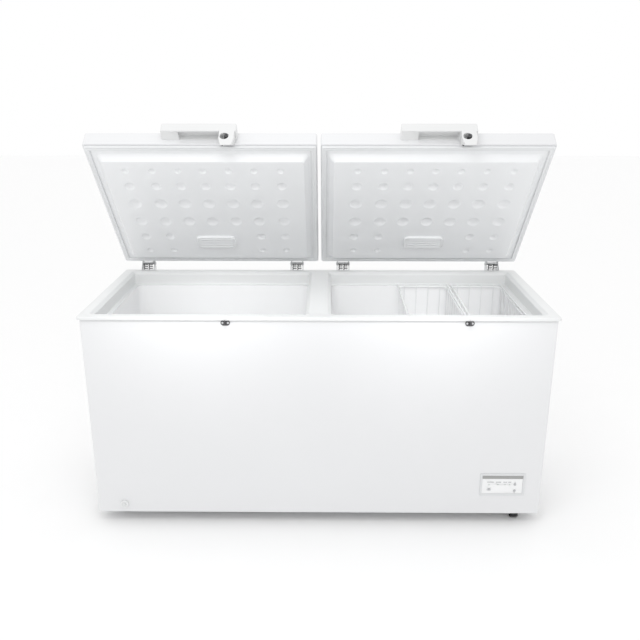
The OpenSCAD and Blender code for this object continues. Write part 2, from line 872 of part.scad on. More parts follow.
module hinge_pins() color("gray") in_cabinet() {
    for (side = [left, right]) hinge_places(side) union() {
        rod_x(-ear_x - ear_t - 2, ear_x + ear_t + 2, hinge_back, hinge_rise, pin_d - 0.02);
        rod_x(-ear_x - ear_t - 2, -ear_x - ear_t, hinge_back, hinge_rise, pin_d + 4);
        rod_x(ear_x + ear_t, ear_x + ear_t + 2, hinge_back, hinge_rise, pin_d + 4);
    }
}

module spring_heads(side) color("gray") in_cabinet() hinge_places(side) {
    head_x = arm_x - 1;
    block(-head_x, head_x, 3, 3 + spring_d, spring_head_z, spring_head_z + head_t);
}

spring_turns = 7;
ring_steps = 8;  // sections in each turn
ring_sides = 6;

function helix_point(i, r) =
    let (a = 360 * i / ring_steps)
    [r * cos(a), r * sin(a)];

// one coil spring, standing on the origin
module coil_spring(length) {
    steps = spring_turns * ring_steps;
    r = spring_d / 2 - spring_wire / 2;
    points = [for (i = [0 : steps], k = [0 : ring_sides - 1])
        let (b = 360 * k / ring_sides, at = helix_point(i, r + spring_wire / 2 * cos(b)))
        [at.x, at.y, spring_wire / 2 + (length - spring_wire) * i / steps
            + spring_wire / 2 * sin(b)]];
    sides = [for (i = [0 : steps - 1], k = [0 : ring_sides - 1])
        let (a = i * ring_sides + k, b = i * ring_sides + (k + 1) % ring_sides)
        [a, a + ring_sides, b + ring_sides, b]];
    ends = [[for (k = [0 : ring_sides - 1]) k],
        [for (k = [ring_sides - 1 : -1 : 0]) steps * ring_sides + k]];
    polyhedron(points = points, faces = concat(sides, ends), convexity = 10);
}

module hinge_springs(side) color("dimgray") in_cabinet() hinge_places(side) {
    for (sx = [-1, 1]) {
        translate([sx * (spring_d / 2 + 1), spring_y, spring_foot])
            coil_spring(spring_head_z - spring_foot);
    }
}

roller_at = [-20, 7.5];  // [y, z] of the roller from the pin, lid shut

module hinge_leaf() {
    difference() {
        union() {
            block(-arm_x - arm_t, arm_x + arm_t, 0, plate_t, gasket_h + 2, gasket_h + 44);
            for (sx = [-1, 1]) {
                side_plate(sx > 0 ? arm_x : -arm_x - arm_t, sx > 0 ? arm_x + arm_t : -arm_x, [
                    [0, gasket_h + 4], [hinge_back, hinge_rise - 8], [hinge_back + 8, hinge_rise],
                    [hinge_back + 6, hinge_rise + 6], [0, gasket_h + 42]]);
                rod_x(sx > 0 ? arm_x : -arm_x - arm_t, sx > 0 ? arm_x + arm_t : -arm_x,
                    hinge_back, hinge_rise, 16);
            }
            rod_x(-arm_x - 1, arm_x + 1, hinge_back + roller_at.x, hinge_rise + roller_at.y, 6);
        }
        rod_x(-arm_x - arm_t - cut, arm_x + arm_t + cut, hinge_back, hinge_rise,
            pin_d + 2 * running);
    }
}

module hinge_leaves(side) color("silver") in_lid(side) {
    for (sx = [-1, 1]) translate([sx * hinge_offset, 0, 0]) hinge_leaf();
}

// Rollers

axle_z = base_z - castor_h + wheel_d / 2;
axle_d = 6;
fork_t = 2.5;
fork_in = wheel_w / 2 + 0.8;
castor_x = half_w - castor_inset;
castor_places = [[-castor_x, left_set - overall_d], [castor_x, front_set - overall_d],
    [-castor_x, -rear_set], [castor_x, -rear_set]];

module castor_brackets() color("silver") in_cabinet() {
    for (at = castor_places) translate([at.x, at.y, 0]) difference() {
        union() {
            block(-fork_in - fork_t, fork_in + fork_t, -19, 19, base_z - fork_t, base_z);
            for (sx = [-1, 1]) {
                side_plate(sx > 0 ? fork_in : -fork_in - fork_t, sx > 0 ? fork_in + fork_t : -fork_in,
                    [[-19, base_z], [-7, axle_z - 6], [7, axle_z - 6], [19, base_z]]);
            }
        }
        rod_x(-fork_in - fork_t - cut, fork_in + fork_t + cut, 0, axle_z, axle_d);
    }
}

module castor_axles() color("gray") in_cabinet() {
    for (at = castor_places) translate([at.x, at.y, 0]) {
        rod_x(-fork_in - fork_t - 1.5, fork_in + fork_t + 1.5, 0, axle_z, axle_d - 0.02);
    }
}

module wheel(at) color("black") in_cabinet() translate([at.x, at.y, axle_z]) {
    difference() {
        rotate([0, 90, 0]) translate([0, 0, -wheel_w / 2]) rotate_extrude() difference() {
            intersection() {
                translate([0, wheel_w / 2]) rounded(wheel_d, wheel_w, 3);
                square([wheel_d / 2, wheel_w]);
            }
            for (z = [0, wheel_w]) translate([wheel_d / 2 - 6, z]) circle(d = 4);
        }
        rod_x(-wheel_w / 2 - cut, wheel_w / 2 + cut, 0, 0, axle_d + 2 * running);
    }
}

// Baskets

basket_play = 4;
basket_edge = 3;  // rim past the basket's side bars
basket_x = tank_out - basket_play - basket_w / 2;
basket_y0 = tank_front + basket_play;
basket_y1 = tank_back - basket_play;
basket_r = tub_r - 2;  // corner radius
hook_reach = 15;  // rim beyond the basket, over the ledge
rim_t = 6;

module basket(x) color("white") in_cabinet() translate([x, 0, 0]) {
    z0 = -ledge_z - basket_h;
    x0 = -basket_w / 2 + basket_edge;
    x1 = basket_w / 2 - basket_edge;
    gap = bar_pitch - bar_t;
    columns = floor((x1 - x0 - 2 * basket_r) / bar_pitch);
    rows = floor((basket_y1 - basket_y0 - 2 * basket_r) / bar_pitch);
    column_0 = -(columns * bar_pitch - bar_t) / 2;
    row_0 = (basket_y0 + basket_y1 - rows * bar_pitch + bar_t) / 2;
    difference() {
        union() {
            rounded_block(x0, x1, basket_y0, basket_y1, z0, -ledge_z + rim_t, basket_r);
            rounded_block(-basket_w / 2, basket_w / 2, basket_y0 - hook_reach,
                basket_y1 + hook_reach, -ledge_z + seat, -ledge_z + rim_t, 8);
        }
        rounded_block(x0 + bar_t, x1 - bar_t, basket_y0 + bar_t, basket_y1 - bar_t,
            z0 + bar_t, cut, basket_r - bar_t);
        // windows between the upright bars, then those between the floor's bars
        for (i = [0 : columns - 1]) {
            block(column_0 + i * bar_pitch, column_0 + i * bar_pitch + gap,
                basket_y0 - cut, basket_y1 + cut, z0 + 2 * bar_t, -ledge_z - 2 * bar_t);
        }
        for (i = [0 : rows - 1]) {
            block(x0 - cut, x1 + cut, row_0 + i * bar_pitch, row_0 + i * bar_pitch + gap,
                z0 + 2 * bar_t, -ledge_z - 2 * bar_t);
            block(x0 + bar_t, x1 - bar_t, row_0 + i * bar_pitch, row_0 + i * bar_pitch + gap,
                z0 - cut, z0 + bar_t + cut);
        }
    }
}

// Lids, drawn shut

lid_r = 6;
plug_front = frame_front - chamfer_w + 3;  // plug's upper edge, inside the frame
plug_back = frame_back + chamfer_w - 3;
plug_near = frame_mid - chamfer_w + 3 - lid_x;  // from the lid's middle, partition side
plug_far = frame_in + chamfer_w - 3 - lid_x;

module lid_plug(side, grow, drop) {
    x0 = side > 0 ? plug_near : -plug_far;
    x1 = side > 0 ? plug_far : -plug_near;
    tapered_block(x0 - grow, x1 + grow, plug_front - grow, plug_back + grow,
        gasket_h, gasket_h - drop, plug_slope);
}

module lid_skin(side) color("white") in_lid(side) {
    difference() {
        rounded_block(-lid_w / 2, lid_w / 2, lid_front, 0, gasket_h, lid_top, lid_r);
        rounded_block(-lid_w / 2 + sheet_t, lid_w / 2 - sheet_t, lid_front + sheet_t, -sheet_t,
            gasket_h - cut, lid_top - sheet_t, lid_r - sheet_t);
    }
}

module lid_foam(side) color("khaki") in_lid(side) {
    union() {
        rounded_block(-lid_w / 2 + sheet_t, lid_w / 2 - sheet_t, lid_front + sheet_t, -sheet_t,
            gasket_h + lining_t, lid_top - sheet_t, lid_r - sheet_t);
        intersection() {
            translate([0, 0, lining_t]) lid_plug(side, -lining_t, plug_drop);
            block(-lid_w, lid_w, lid_front, 0, 0 - plug_drop, gasket_h + lining_t);
        }
    }
}

dimple_columns = [-3.06, -2, -1, 0, 1, 2, 3.06];  // in pitches from the lid's middle
// [distance in front of the plug's middle, dimple diameter]
dimple_rows = [[231, 27], [152, 38], [58, 48], [-44, 46], [-137, 36], [-224, 27]];
lamp_rows = 2;  // rows at the rear that make room for the lamp

module dimple(x, y, d) {
    r = (d * d / 4 + dimple_depth * dimple_depth) / (2 * dimple_depth);
    translate([x, y, gasket_h - plug_drop - r + dimple_depth]) sphere(r = r);
}

module lid_lining(side) color("whitesmoke") in_lid(side) {
    difference() {
        union() {
            rounded_block(-lid_w / 2 + sheet_t, lid_w / 2 - sheet_t, lid_front + sheet_t, -sheet_t,
                gasket_h, gasket_h + lining_t, lid_r - sheet_t);
            lid_plug(side, 0, plug_drop);
        }
        translate([0, 0, lining_t]) lid_plug(side, -lining_t, plug_drop);
        for (r = [0 : len(dimple_rows) - 1], c = [0 : len(dimple_columns) - 1]) {
            if (r < len(dimple_rows) - lamp_rows || abs(c - 3) > 1) {
                dimple(dimple_columns[c] * dimple_pitch,
                    (plug_front + plug_back) / 2 - dimple_rows[r][0], dimple_rows[r][1]);
            }
        }
    }
}

gasket_edge = 7;

module gasket(side) color("lightgray") in_lid(side) {
    x0 = -lid_w / 2 + (side > 0 ? 3 : 4);
    x1 = lid_w / 2 - (side > 0 ? 4 : 3);
    difference() {
        rounded_block(x0, x1, lid_front + gasket_edge, -gasket_edge, seat, gasket_h, 5);
        rounded_block(x0 + gasket_w, x1 - gasket_w, lid_front + gasket_edge + gasket_w,
            -gasket_edge - gasket_w, 0, gasket_h + cut, 3);
    }
}

lamp_y = -164;
lamp_t = 12;
lamp_wall = 2;

module lamp_outline(inset) {
    w = lamp_w / 2 - inset;
    d = lamp_d / 2 - inset;
    polygon([[-w, -d], [w, -d], [w - 16, d], [-w + 16, d]]);
}

module lamp_cover(side) color("ghostwhite") in_lid(side) {
    translate([0, lamp_y, gasket_h - plug_drop - lamp_t]) difference() {
        linear_extrude(lamp_t) lamp_outline(0);
        translate([0, 0, lamp_wall]) linear_extrude(lamp_t) lamp_outline(lamp_wall);
    }
}

handle_front = lid_front - handle_reach;
tab_back = lid_front - 4.5;
tab_wall = 2.5;
tab_tip = 3;  // flat end of the tab in front of its slope
pocket_front = tab_back - 11;  // lock pocket in the back of the tab

module handle(side) color("whitesmoke") in_lid(side) {
    difference() {
        union() {
            block(-handle_w / 2, handle_w / 2, handle_front, lid_front, lid_top - handle_h, lid_top);
            translate([lock_offset, tab_back, 0]) rotate([90, 0, 0])
                linear_extrude(tab_back - handle_front) polygon([
                    [-tab_w / 2, lid_top], [-tab_w / 2, -6], [-tab_end_w / 2, -tab_drop],
                    [tab_end_w / 2, -tab_drop], [tab_w / 2, -6], [tab_w / 2, lid_top]]);
        }
        // finger recess, open below
        block(-grip_w / 2, grip_w / 2, handle_front + grip_wall, lid_front + cut,
            lid_top - handle_h - cut, lid_top - handle_h + grip_h);
        // lock pocket, open behind and below
        translate([lock_offset, tab_back + cut, 0]) rotate([90, 0, 0])
            linear_extrude(tab_back - pocket_front + cut) polygon([
                [-tab_w / 2 + tab_wall, lid_top - handle_h], [-tab_w / 2 + tab_wall, -6],
                [-tab_end_w / 2 + tab_wall, -tab_drop - cut], [tab_end_w / 2 - tab_wall, -tab_drop - cut],
                [tab_w / 2 - tab_wall, -6], [tab_w / 2 - tab_wall, lid_top - handle_h]]);
        rod_y(handle_front - cut, pocket_front + cut, lock_offset, lock_z, lock_d + 2 * running);
        // the tab's lower end slopes up towards the lid
        side_plate(lock_offset - tab_w / 2 - cut, lock_offset + tab_w / 2 + cut, [
            [handle_front + tab_tip, -tab_drop - cut], [tab_back + cut, -tab_drop - cut],
            [tab_back + cut, -tab_drop + (tab_back + cut - handle_front - tab_tip) * tab_slope],
            [handle_front + tab_tip, -tab_drop]]);
    }
}

hook_t = 3;
hook_w = 3.4;
hook_start = 188;  // where the hook lies when unlocked, from +x towards +z
hook_sweep = 30;
key_w = 2.4;
key_h = 9;

module lock(side) color("silver") in_lid(side) translate([lock_offset, 0, lock_z]) {
    difference() {
        union() {
            rod_y(handle_front - 0.6, pocket_front, 0, 0, lock_d);
            rod_y(pocket_front, hook_y + hook_t / 2, 0, 0, 10);
            translate([0, hook_y + hook_t / 2, 0]) rotate([90, 0, 0])
                rotate([0, 0, hook_start]) {
                    rotate_extrude(angle = hook_sweep)
                        translate([hook_r - hook_w / 2, 0]) square([hook_w, hook_t]);
                    // arm from the spindle to the hook
                    linear_extrude(hook_t)
                        polygon([[0, 0], [hook_r, 0], [hook_r * cos(14), hook_r * sin(14)], [0, 4.5]]);
                }
        }
        block(-key_w / 2, key_w / 2, handle_front - 0.6 - cut, handle_front + 10,
            -key_h / 2, key_h / 2);
    }
}

module left_spring_heads() spring_heads(left);
module right_spring_heads() spring_heads(right);
module left_hinge_springs() hinge_springs(left);
module right_hinge_springs() hinge_springs(right);
module power_button() button(power_at);
module up_button() button(up_at);
module down_button() button(down_at);
module front_left_wheel() wheel(castor_places[0]);
module front_right_wheel() wheel(castor_places[1]);
module rear_left_wheel() wheel(castor_places[2]);
module rear_right_wheel() wheel(castor_places[3]);
module left_basket() basket(basket_x - basket_w - basket_gap);
module right_basket() basket(basket_x);

front_panel();
left_side_panel();
right_side_panel();
back_panel();
base_plate();
cabinet_foam();
left_tank();
right_tank();
top_frame();
evaporator_coil();
condenser_coil();
compressor();
compressor_grommets();
relay_cover();
refrigerant_pipes();
filter_drier();
service_cover();
control_bezel();
control_fascia();
control_board();
indicator_lenses();
power_button();
up_button();
down_button();
drain_tube();
drain_cap();
drain_stopper();
lock_strikes();
case_screws();
hinge_bases();
hinge_pins();
left_spring_heads();
right_spring_heads();
left_hinge_springs();
right_hinge_springs();
castor_brackets();
castor_axles();
front_left_wheel();
front_right_wheel();
rear_left_wheel();
rear_right_wheel();
left_basket();
right_basket();
cord_gland();
lid_skin(left);  // left_lid_skin
lid_foam(left);  // left_lid_foam
lid_lining(left);  // left_lid_lining
gasket(left);  // left_gasket
handle(left);  // left_handle
lamp_cover(left);  // left_lamp_cover
hinge_leaves(left);  // left_hinge_leaves
lock(left);  // left_lock
lid_skin(right);  // right_lid_skin
lid_foam(right);  // right_lid_foam
lid_lining(right);  // right_lid_lining
gasket(right);  // right_gasket
handle(right);  // right_handle
lamp_cover(right);  // right_lamp_cover
hinge_leaves(right);  // right_hinge_leaves
lock(right);  // right_lock
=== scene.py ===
import json
import math

import bmesh
import bpy
from mathutils import Matrix, Vector


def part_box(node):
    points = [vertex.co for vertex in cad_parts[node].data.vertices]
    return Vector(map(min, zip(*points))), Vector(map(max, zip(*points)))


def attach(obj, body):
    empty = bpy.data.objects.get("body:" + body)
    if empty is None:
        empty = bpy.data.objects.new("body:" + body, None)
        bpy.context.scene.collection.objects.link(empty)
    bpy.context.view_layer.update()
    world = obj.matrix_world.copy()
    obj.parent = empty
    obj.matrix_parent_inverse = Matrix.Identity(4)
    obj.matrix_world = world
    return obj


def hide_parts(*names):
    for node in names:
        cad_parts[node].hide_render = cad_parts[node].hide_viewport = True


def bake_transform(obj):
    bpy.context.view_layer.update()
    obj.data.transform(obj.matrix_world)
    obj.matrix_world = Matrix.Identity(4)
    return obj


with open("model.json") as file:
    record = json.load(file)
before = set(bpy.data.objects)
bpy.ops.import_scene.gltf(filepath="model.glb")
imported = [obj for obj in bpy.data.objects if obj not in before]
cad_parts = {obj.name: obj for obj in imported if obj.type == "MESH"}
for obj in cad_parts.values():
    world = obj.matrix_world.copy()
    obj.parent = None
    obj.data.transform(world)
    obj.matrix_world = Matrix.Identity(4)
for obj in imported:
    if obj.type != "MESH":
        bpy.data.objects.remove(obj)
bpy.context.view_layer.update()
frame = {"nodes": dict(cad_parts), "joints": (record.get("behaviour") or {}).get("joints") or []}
joints = {joint["name"]: joint for joint in frame["joints"]}
print("frame loaded")

mm = 0.001
sides = {"left": -1, "right": 1}

# The cabinet is drawn from the middle of the top frame's rear edge, and a lid as if it were shut
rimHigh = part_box("top_frame")[1]
cabinetPlace = Matrix.Translation((0, rimHigh.y, rimHigh.z))
lidAngle = math.radians(-joints["left_lid_hinge"]["range_deg"][0])


def lidPlace(side):
    pivot = Vector(joints[side + "_lid_hinge"]["pos_m"])
    back = Vector((0, pivot.y - rimHigh.y, pivot.z - rimHigh.z))
    return Matrix.Translation(pivot) @ Matrix.Rotation(-lidAngle, 4, "X") @ Matrix.Translation(-back)


def localBox(node, place):
    points = [place.inverted() @ vertex.co for vertex in frame["nodes"][node].data.vertices]
    low = Vector([min(p[i] for p in points) for i in range(3)])
    high = Vector([max(p[i] for p in points) for i in range(3)])
    return low, high


def cabinetBox(node):
    return localBox(node, cabinetPlace)


# ---- Materials: each one is made of nodes on Object coordinates

def nodeTree(name):
    material = bpy.data.materials.new(name)
    material.use_nodes = True
    tree = material.node_tree
    shader = tree.nodes["Principled BSDF"]
    return material, tree, shader


def addNode(tree, kind, inputs=None, **settings):
    node = tree.nodes.new(kind)
    for key, value in settings.items():
        setattr(node, key, value)
    for key, value in (inputs or {}).items():
        if isinstance(value, bpy.types.NodeSocket):
            tree.links.new(value, node.inputs[key])
        else:
            node.inputs[key].default_value = value
    return node


def noise(tree, scale, detail=3.0, roughness=0.55, stretch=(1, 1, 1)):
    place = addNode(tree, "ShaderNodeTexCoord").outputs["Object"]
    mapping = addNode(tree, "ShaderNodeMapping", {"Vector": place, "Scale": stretch})
    texture = addNode(tree, "ShaderNodeTexNoise", {
        "Vector": mapping.outputs["Vector"], "Scale": scale, "Detail": detail, "Roughness": roughness})
    return texture.outputs["Fac"]


def spread(tree, value, low, high, fromLow=0.3, fromHigh=0.7):
    node = addNode(tree, "ShaderNodeMapRange", {
        "Value": value, "From Min": fromLow, "From Max": fromHigh, "To Min": low, "To Max": high})
    return node.outputs["Result"]


def blendColours(tree, factor, first, second):
    node = addNode(tree, "ShaderNodeMix", data_type="RGBA")
    tree.links.new(factor, node.inputs["Factor"])
    node.inputs[6].default_value = (*first, 1)
    node.inputs[7].default_value = (*second, 1)
    return node.outputs[2]


def bumpFrom(tree, shader, height, strength, distance):
    bump = addNode(tree, "ShaderNodeBump", {"Height": height, "Strength": strength, "Distance": distance})
    tree.links.new(bump.outputs["Normal"], shader.inputs["Normal"])
    return bump


# colour drifts between two tones, gloss varies a little, and fine grain stands as a bump
def coatedMaterial(name, tone, drift, roughness, grain, grainDepth, metallic=0.0, coat=0.0,
                   driftScale=3.0, stretch=(1, 1, 1), specular=0.5, scuffs=0.05):
    material, tree, shader = nodeTree(name)
    tone2 = tuple(max(0.0, channel - drift) for channel in tone)
    cloud = noise(tree, driftScale, stretch=stretch)
    tree.links.new(blendColours(tree, spread(tree, cloud, 0, 1), tone, tone2), shader.inputs["Base Color"])
    smear = noise(tree, 5.0, detail=1.5, stretch=stretch)
    tree.links.new(spread(tree, smear, roughness - scuffs, roughness + scuffs), shader.inputs["Roughness"])
    bumpFrom(tree, shader, noise(tree, grain, detail=2.0, stretch=stretch), 0.25, grainDepth)
    shader.inputs["Metallic"].default_value = metallic
    shader.inputs["Coat Weight"].default_value = coat
    shader.inputs["Coat Roughness"].default_value = 0.12
    shader.inputs["Specular IOR Level"].default_value = specular
    return material


# zinc sheet: each crystal has its own tone and gloss
def zincMaterial(name, tone, crystal=90.0):
    material, tree, shader = nodeTree(name)
    place = addNode(tree, "ShaderNodeTexCoord").outputs["Object"]
    cells = addNode(tree, "ShaderNodeTexVoronoi", {"Vector": place, "Scale": crystal})
    value = addNode(tree, "ShaderNodeSeparateColor", {"Color": cells.outputs["Color"]}).outputs["Red"]
    tone2 = tuple(channel * 0.78 for channel in tone)
    tree.links.new(blendColours(tree, value, tone, tone2), shader.inputs["Base Color"])
    tree.links.new(spread(tree, value, 0.28, 0.5, 0, 1), shader.inputs["Roughness"])
    bumpFrom(tree, shader, noise(tree, 900.0), 0.15, 0.0001)
    shader.inputs["Metallic"].default_value = 0.6
    return material


# drawn or turned metal: fine lines along one axis
def brushedMaterial(name, tone, roughness, along=(0.02, 1, 1), scale=700.0):
    material, tree, shader = nodeTree(name)
    lines = noise(tree, scale, detail=4.0, stretch=along)
    tone2 = tuple(channel * 0.82 for channel in tone)
    tree.links.new(blendColours(tree, spread(tree, lines, 0, 1), tone, tone2), shader.inputs["Base Color"])
    tree.links.new(spread(tree, lines, roughness, roughness + 0.15), shader.inputs["Roughness"])
    bumpFrom(tree, shader, lines, 0.2, 0.00005)
    shader.inputs["Metallic"].default_value = 1.0
    return material


# rigid foam: closed cells of two sizes
def foamMaterial(name, tone):
    material, tree, shader = nodeTree(name)
    place = addNode(tree, "ShaderNodeTexCoord").outputs["Object"]
    cells = addNode(tree, "ShaderNodeTexVoronoi", {"Vector": place, "Scale": 700.0}, feature="SMOOTH_F1")
    tone2 = tuple(channel * 0.8 for channel in tone)
    cloud = noise(tree, 8.0)
    tree.links.new(blendColours(tree, spread(tree, cloud, 0, 1), tone, tone2), shader.inputs["Base Color"])
    bumpFrom(tree, shader, cells.outputs["Distance"], 0.6, 0.0006)
    shader.inputs["Roughness"].default_value = 0.9
    return material


# circuit board: solder mask with darker tracks
def boardMaterial(name):
    material, tree, shader = nodeTree(name)
    place = addNode(tree, "ShaderNodeTexCoord").outputs["Object"]
    tracks = addNode(tree, "ShaderNodeTexBrick", {"Vector": place, "Scale": 60.0, "Mortar Size": 0.08,
        "Color1": (0.02, 0.16, 0.06, 1), "Color2": (0.02, 0.2, 0.08, 1), "Mortar": (0.01, 0.09, 0.03, 1)})
    tree.links.new(tracks.outputs["Color"], shader.inputs["Base Color"])
    bumpFrom(tree, shader, tracks.outputs["Fac"], 0.3, 0.0001)
    shader.inputs["Roughness"].default_value = 0.35
    return material


# translucent plastic of the lamp covers and small lenses
def diffuserMaterial(name, tone, weight):
    material = coatedMaterial(name, tone, 0.02, 0.32, 1500.0, 0.00004)
    shader = material.node_tree.nodes["Principled BSDF"]
    shader.inputs["Transmission Weight"].default_value = weight
    shader.inputs["Subsurface Weight"].default_value = 0.15
    shader.inputs["Subsurface Radius"].default_value = (0.004, 0.004, 0.004)
    return material


materials = {
    "paintedSteel": coatedMaterial("paintedSteel", (0.785, 0.79, 0.8), 0.008, 0.32, 420.0, 0.00003,
                                   coat=0.15, scuffs=0.02),
    "backSteel": coatedMaterial("backSteel", (0.62, 0.63, 0.64), 0.04, 0.42, 420.0, 0.00005),
    "lidLining": coatedMaterial("lidLining", (0.88, 0.89, 0.9), 0.012, 0.36, 1300.0, 0.00003),
    "frameMoulding": coatedMaterial("frameMoulding", (0.78, 0.79, 0.79), 0.012, 0.38, 1300.0, 0.00004),
    "tankLining": coatedMaterial("tankLining", (0.95, 0.955, 0.96), 0.012, 0.33, 500.0, 0.00004,
                                 scuffs=0.03),
    "handleMoulding": coatedMaterial("handleMoulding", (0.76, 0.765, 0.765), 0.015, 0.34, 1600.0, 0.00003),
    "gasketVinyl": coatedMaterial("gasketVinyl", (0.82, 0.83, 0.84), 0.03, 0.55, 900.0, 0.00005),
    "bezelMoulding": coatedMaterial("bezelMoulding", (0.72, 0.73, 0.74), 0.02, 0.4, 1600.0, 0.00003),
    "fasciaMoulding": coatedMaterial("fasciaMoulding", (0.88, 0.885, 0.89), 0.01, 0.3, 1800.0, 0.00002),
    # dark grey that stands for the shade under the bezel's overhang: painted shade
    "overhangShadeGrey": coatedMaterial("overhangShadeGrey", (0.37, 0.37, 0.365), 0.03, 0.42, 1600.0, 0.00004),
    "printGrey": coatedMaterial("printGrey", (0.42, 0.43, 0.44), 0.03, 0.5, 2000.0, 0.00001),
    "buttonPlastic": coatedMaterial("buttonPlastic", (0.5, 0.51, 0.52), 0.02, 0.33, 1800.0, 0.00002),
    "capPlastic": coatedMaterial("capPlastic", (0.8, 0.81, 0.81), 0.02, 0.38, 1600.0, 0.00003),
    "drainPlastic": coatedMaterial("drainPlastic", (0.78, 0.79, 0.79), 0.02, 0.4, 1500.0, 0.00003),
    "blackRubber": coatedMaterial("blackRubber", (0.03, 0.03, 0.031), 0.01, 0.68, 900.0, 0.00006,
                                  scuffs=0.08),
    "blackNylon": coatedMaterial("blackNylon", (0.02, 0.02, 0.021), 0.008, 0.45, 1200.0, 0.00005,
                                 scuffs=0.08),
    "blackEnamel": coatedMaterial("blackEnamel", (0.015, 0.015, 0.016), 0.006, 0.24, 160.0, 0.0001,
                                  coat=0.3),
    "condenserEnamel": coatedMaterial("condenserEnamel", (0.02, 0.02, 0.02), 0.008, 0.35, 600.0, 0.00005),
    "copperTube": coatedMaterial("copperTube", (0.72, 0.38, 0.24), 0.14, 0.28, 260.0, 0.00005, metallic=1.0,
                                 driftScale=12.0),
    "galvanised": zincMaterial("galvanised", (0.74, 0.75, 0.76)),
    "darkSteel": brushedMaterial("darkSteel", (0.16, 0.16, 0.165), 0.3),
    "paleZinc": coatedMaterial("paleZinc", (0.8, 0.81, 0.82), 0.03, 0.3, 700.0, 0.00004, metallic=0.25),
    "brightSteel": brushedMaterial("brightSteel", (0.62, 0.62, 0.63), 0.18),
    "springSteel": brushedMaterial("springSteel", (0.12, 0.12, 0.125), 0.36, along=(1, 1, 0.05)),
    "insulation": foamMaterial("insulation", (0.78, 0.68, 0.42)),
    "circuitBoard": boardMaterial("circuitBoard"),
    "lampDiffuser": diffuserMaterial("lampDiffuser", (0.84, 0.85, 0.86), 0.0),
    "lensGreen": diffuserMaterial("lensGreen", (0.62, 0.72, 0.64), 0.35),
    "coatedWire": coatedMaterial("coatedWire", (0.86, 0.87, 0.875), 0.02, 0.4, 800.0, 0.00006, coat=0.2),
}
print("materials made", len(materials))


# ---- Mesh helpers

flatArea = 2.5e-4          # square metres: a face this large is shaded flat


# an edge is sharp where its faces turn by the angle, or where a large flat face meets a bend
def markSharp(bm, angle):
    limit = math.radians(angle)
    slight = math.radians(1.5)
    for face in bm.faces:
        face.smooth = True
    for edge in bm.edges:
        if len(edge.link_faces) != 2:
            continue
        turn = edge.calc_face_angle(0)
        areas = sorted(face.calc_area() for face in edge.link_faces)
        besideFlat = areas[1] > flatArea and areas[1] > 4 * areas[0]
        edge.smooth = not (turn > limit or (besideFlat and turn > slight))


# turns drawn geometry into a finished piece that rides on a body
def makePiece(bm, name, material, body, place=None, stands=(), sharpAngle=38, facing=None):
    bmesh.ops.remove_doubles(bm, verts=bm.verts, dist=0.01 * mm)
    bmesh.ops.recalc_face_normals(bm, faces=bm.faces)
    if facing and sum(face.normal.dot(Vector(facing)) * face.calc_area() for face in bm.faces) < 0:
        bmesh.ops.reverse_faces(bm, faces=bm.faces)
    if place is not None:
        bm.transform(place)
    markSharp(bm, sharpAngle)
    mesh = bpy.data.meshes.new(name)
    bm.to_mesh(mesh)
    bm.free()
    return addPiece(mesh, name, material, body, stands)


def addPiece(mesh, name, material, body, stands=()):
    piece = bpy.data.objects.new(name, mesh)
    bpy.context.scene.collection.objects.link(piece)
    mesh.materials.clear()
    mesh.materials.append(materials[material])
    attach(piece, body)
    if stands:
        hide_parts(*stands)
    return piece


def addBevel(piece, width, segments=3, angle=30):
    bevel = piece.modifiers.new("edgeRounding", "BEVEL")
    bevel.width = width
    bevel.segments = segments
    bevel.limit_method = "ANGLE"
    bevel.angle_limit = math.radians(angle)
    settle(piece)


def addWall(piece, thickness, offset):
    wall = piece.modifiers.new("wallThickness", "SOLIDIFY")
    wall.thickness = thickness
    wall.offset = offset
    wall.use_even_offset = True
    settle(piece)


# cuts away what lies inside a turned profile
def drill(piece, profile, centre, place):
    bm = bmesh.new()
    addLathe(bm, profile, centre, "Y", 64)
    bmesh.ops.recalc_face_normals(bm, faces=bm.faces)
    bm.transform(place)
    mesh = bpy.data.meshes.new("drill")
    bm.to_mesh(mesh)
    bm.free()
    cutter = bpy.data.objects.new("drill", mesh)
    bpy.context.scene.collection.objects.link(cutter)
    hole = piece.modifiers.new("hole", "BOOLEAN")
    hole.operation, hole.solver, hole.object = "DIFFERENCE", "EXACT", cutter
    corners = piece.modifiers.new("corners", "TRIANGULATE")
    corners.min_vertices = 5
    settle(piece)
    bpy.data.objects.remove(cutter)
    bpy.data.meshes.remove(mesh)


# turns a piece's modifiers into plain mesh and marks its sharp edges again
def settle(piece, sharpAngle=38):
    graph = bpy.context.evaluated_depsgraph_get()
    mesh = bpy.data.meshes.new_from_object(piece.evaluated_get(graph))
    piece.modifiers.clear()
    piece.data = mesh
    bm = bmesh.new()
    bm.from_mesh(mesh)
    markSharp(bm, sharpAngle)
    bm.to_mesh(mesh)
    bm.free()


# a rectangle with round corners, as points in order
def roundedLoop(x0, x1, y0, y1, z, radius, steps=6):
    points = []
    for cx, cy, start in ((x1 - radius, y1 - radius, 0), (x0 + radius, y1 - radius, 90),
                          (x0 + radius, y0 + radius, 180), (x1 - radius, y0 + radius, 270)):
        for i in range(steps + 1):
            turn = math.radians(start + 90 * i / steps)
            points.append(Vector((cx + radius * math.cos(turn), cy + radius * math.sin(turn), z)))
    return points


def insetLoop(box, inset, z, radius, steps=6):
    x0, x1, y0, y1 = box
    return roundedLoop(x0 + inset, x1 - inset, y0 + inset, y1 - inset, z, max(radius, 0.2 * mm), steps)


def addRing(bm, points):
    return [bm.verts.new(p) for p in points]


def bridge(bm, first, second):
    count = len(first)
    for i in range(count):
        j = (i + 1) % count
        bm.faces.new((first[i], first[j], second[j], second[i]))


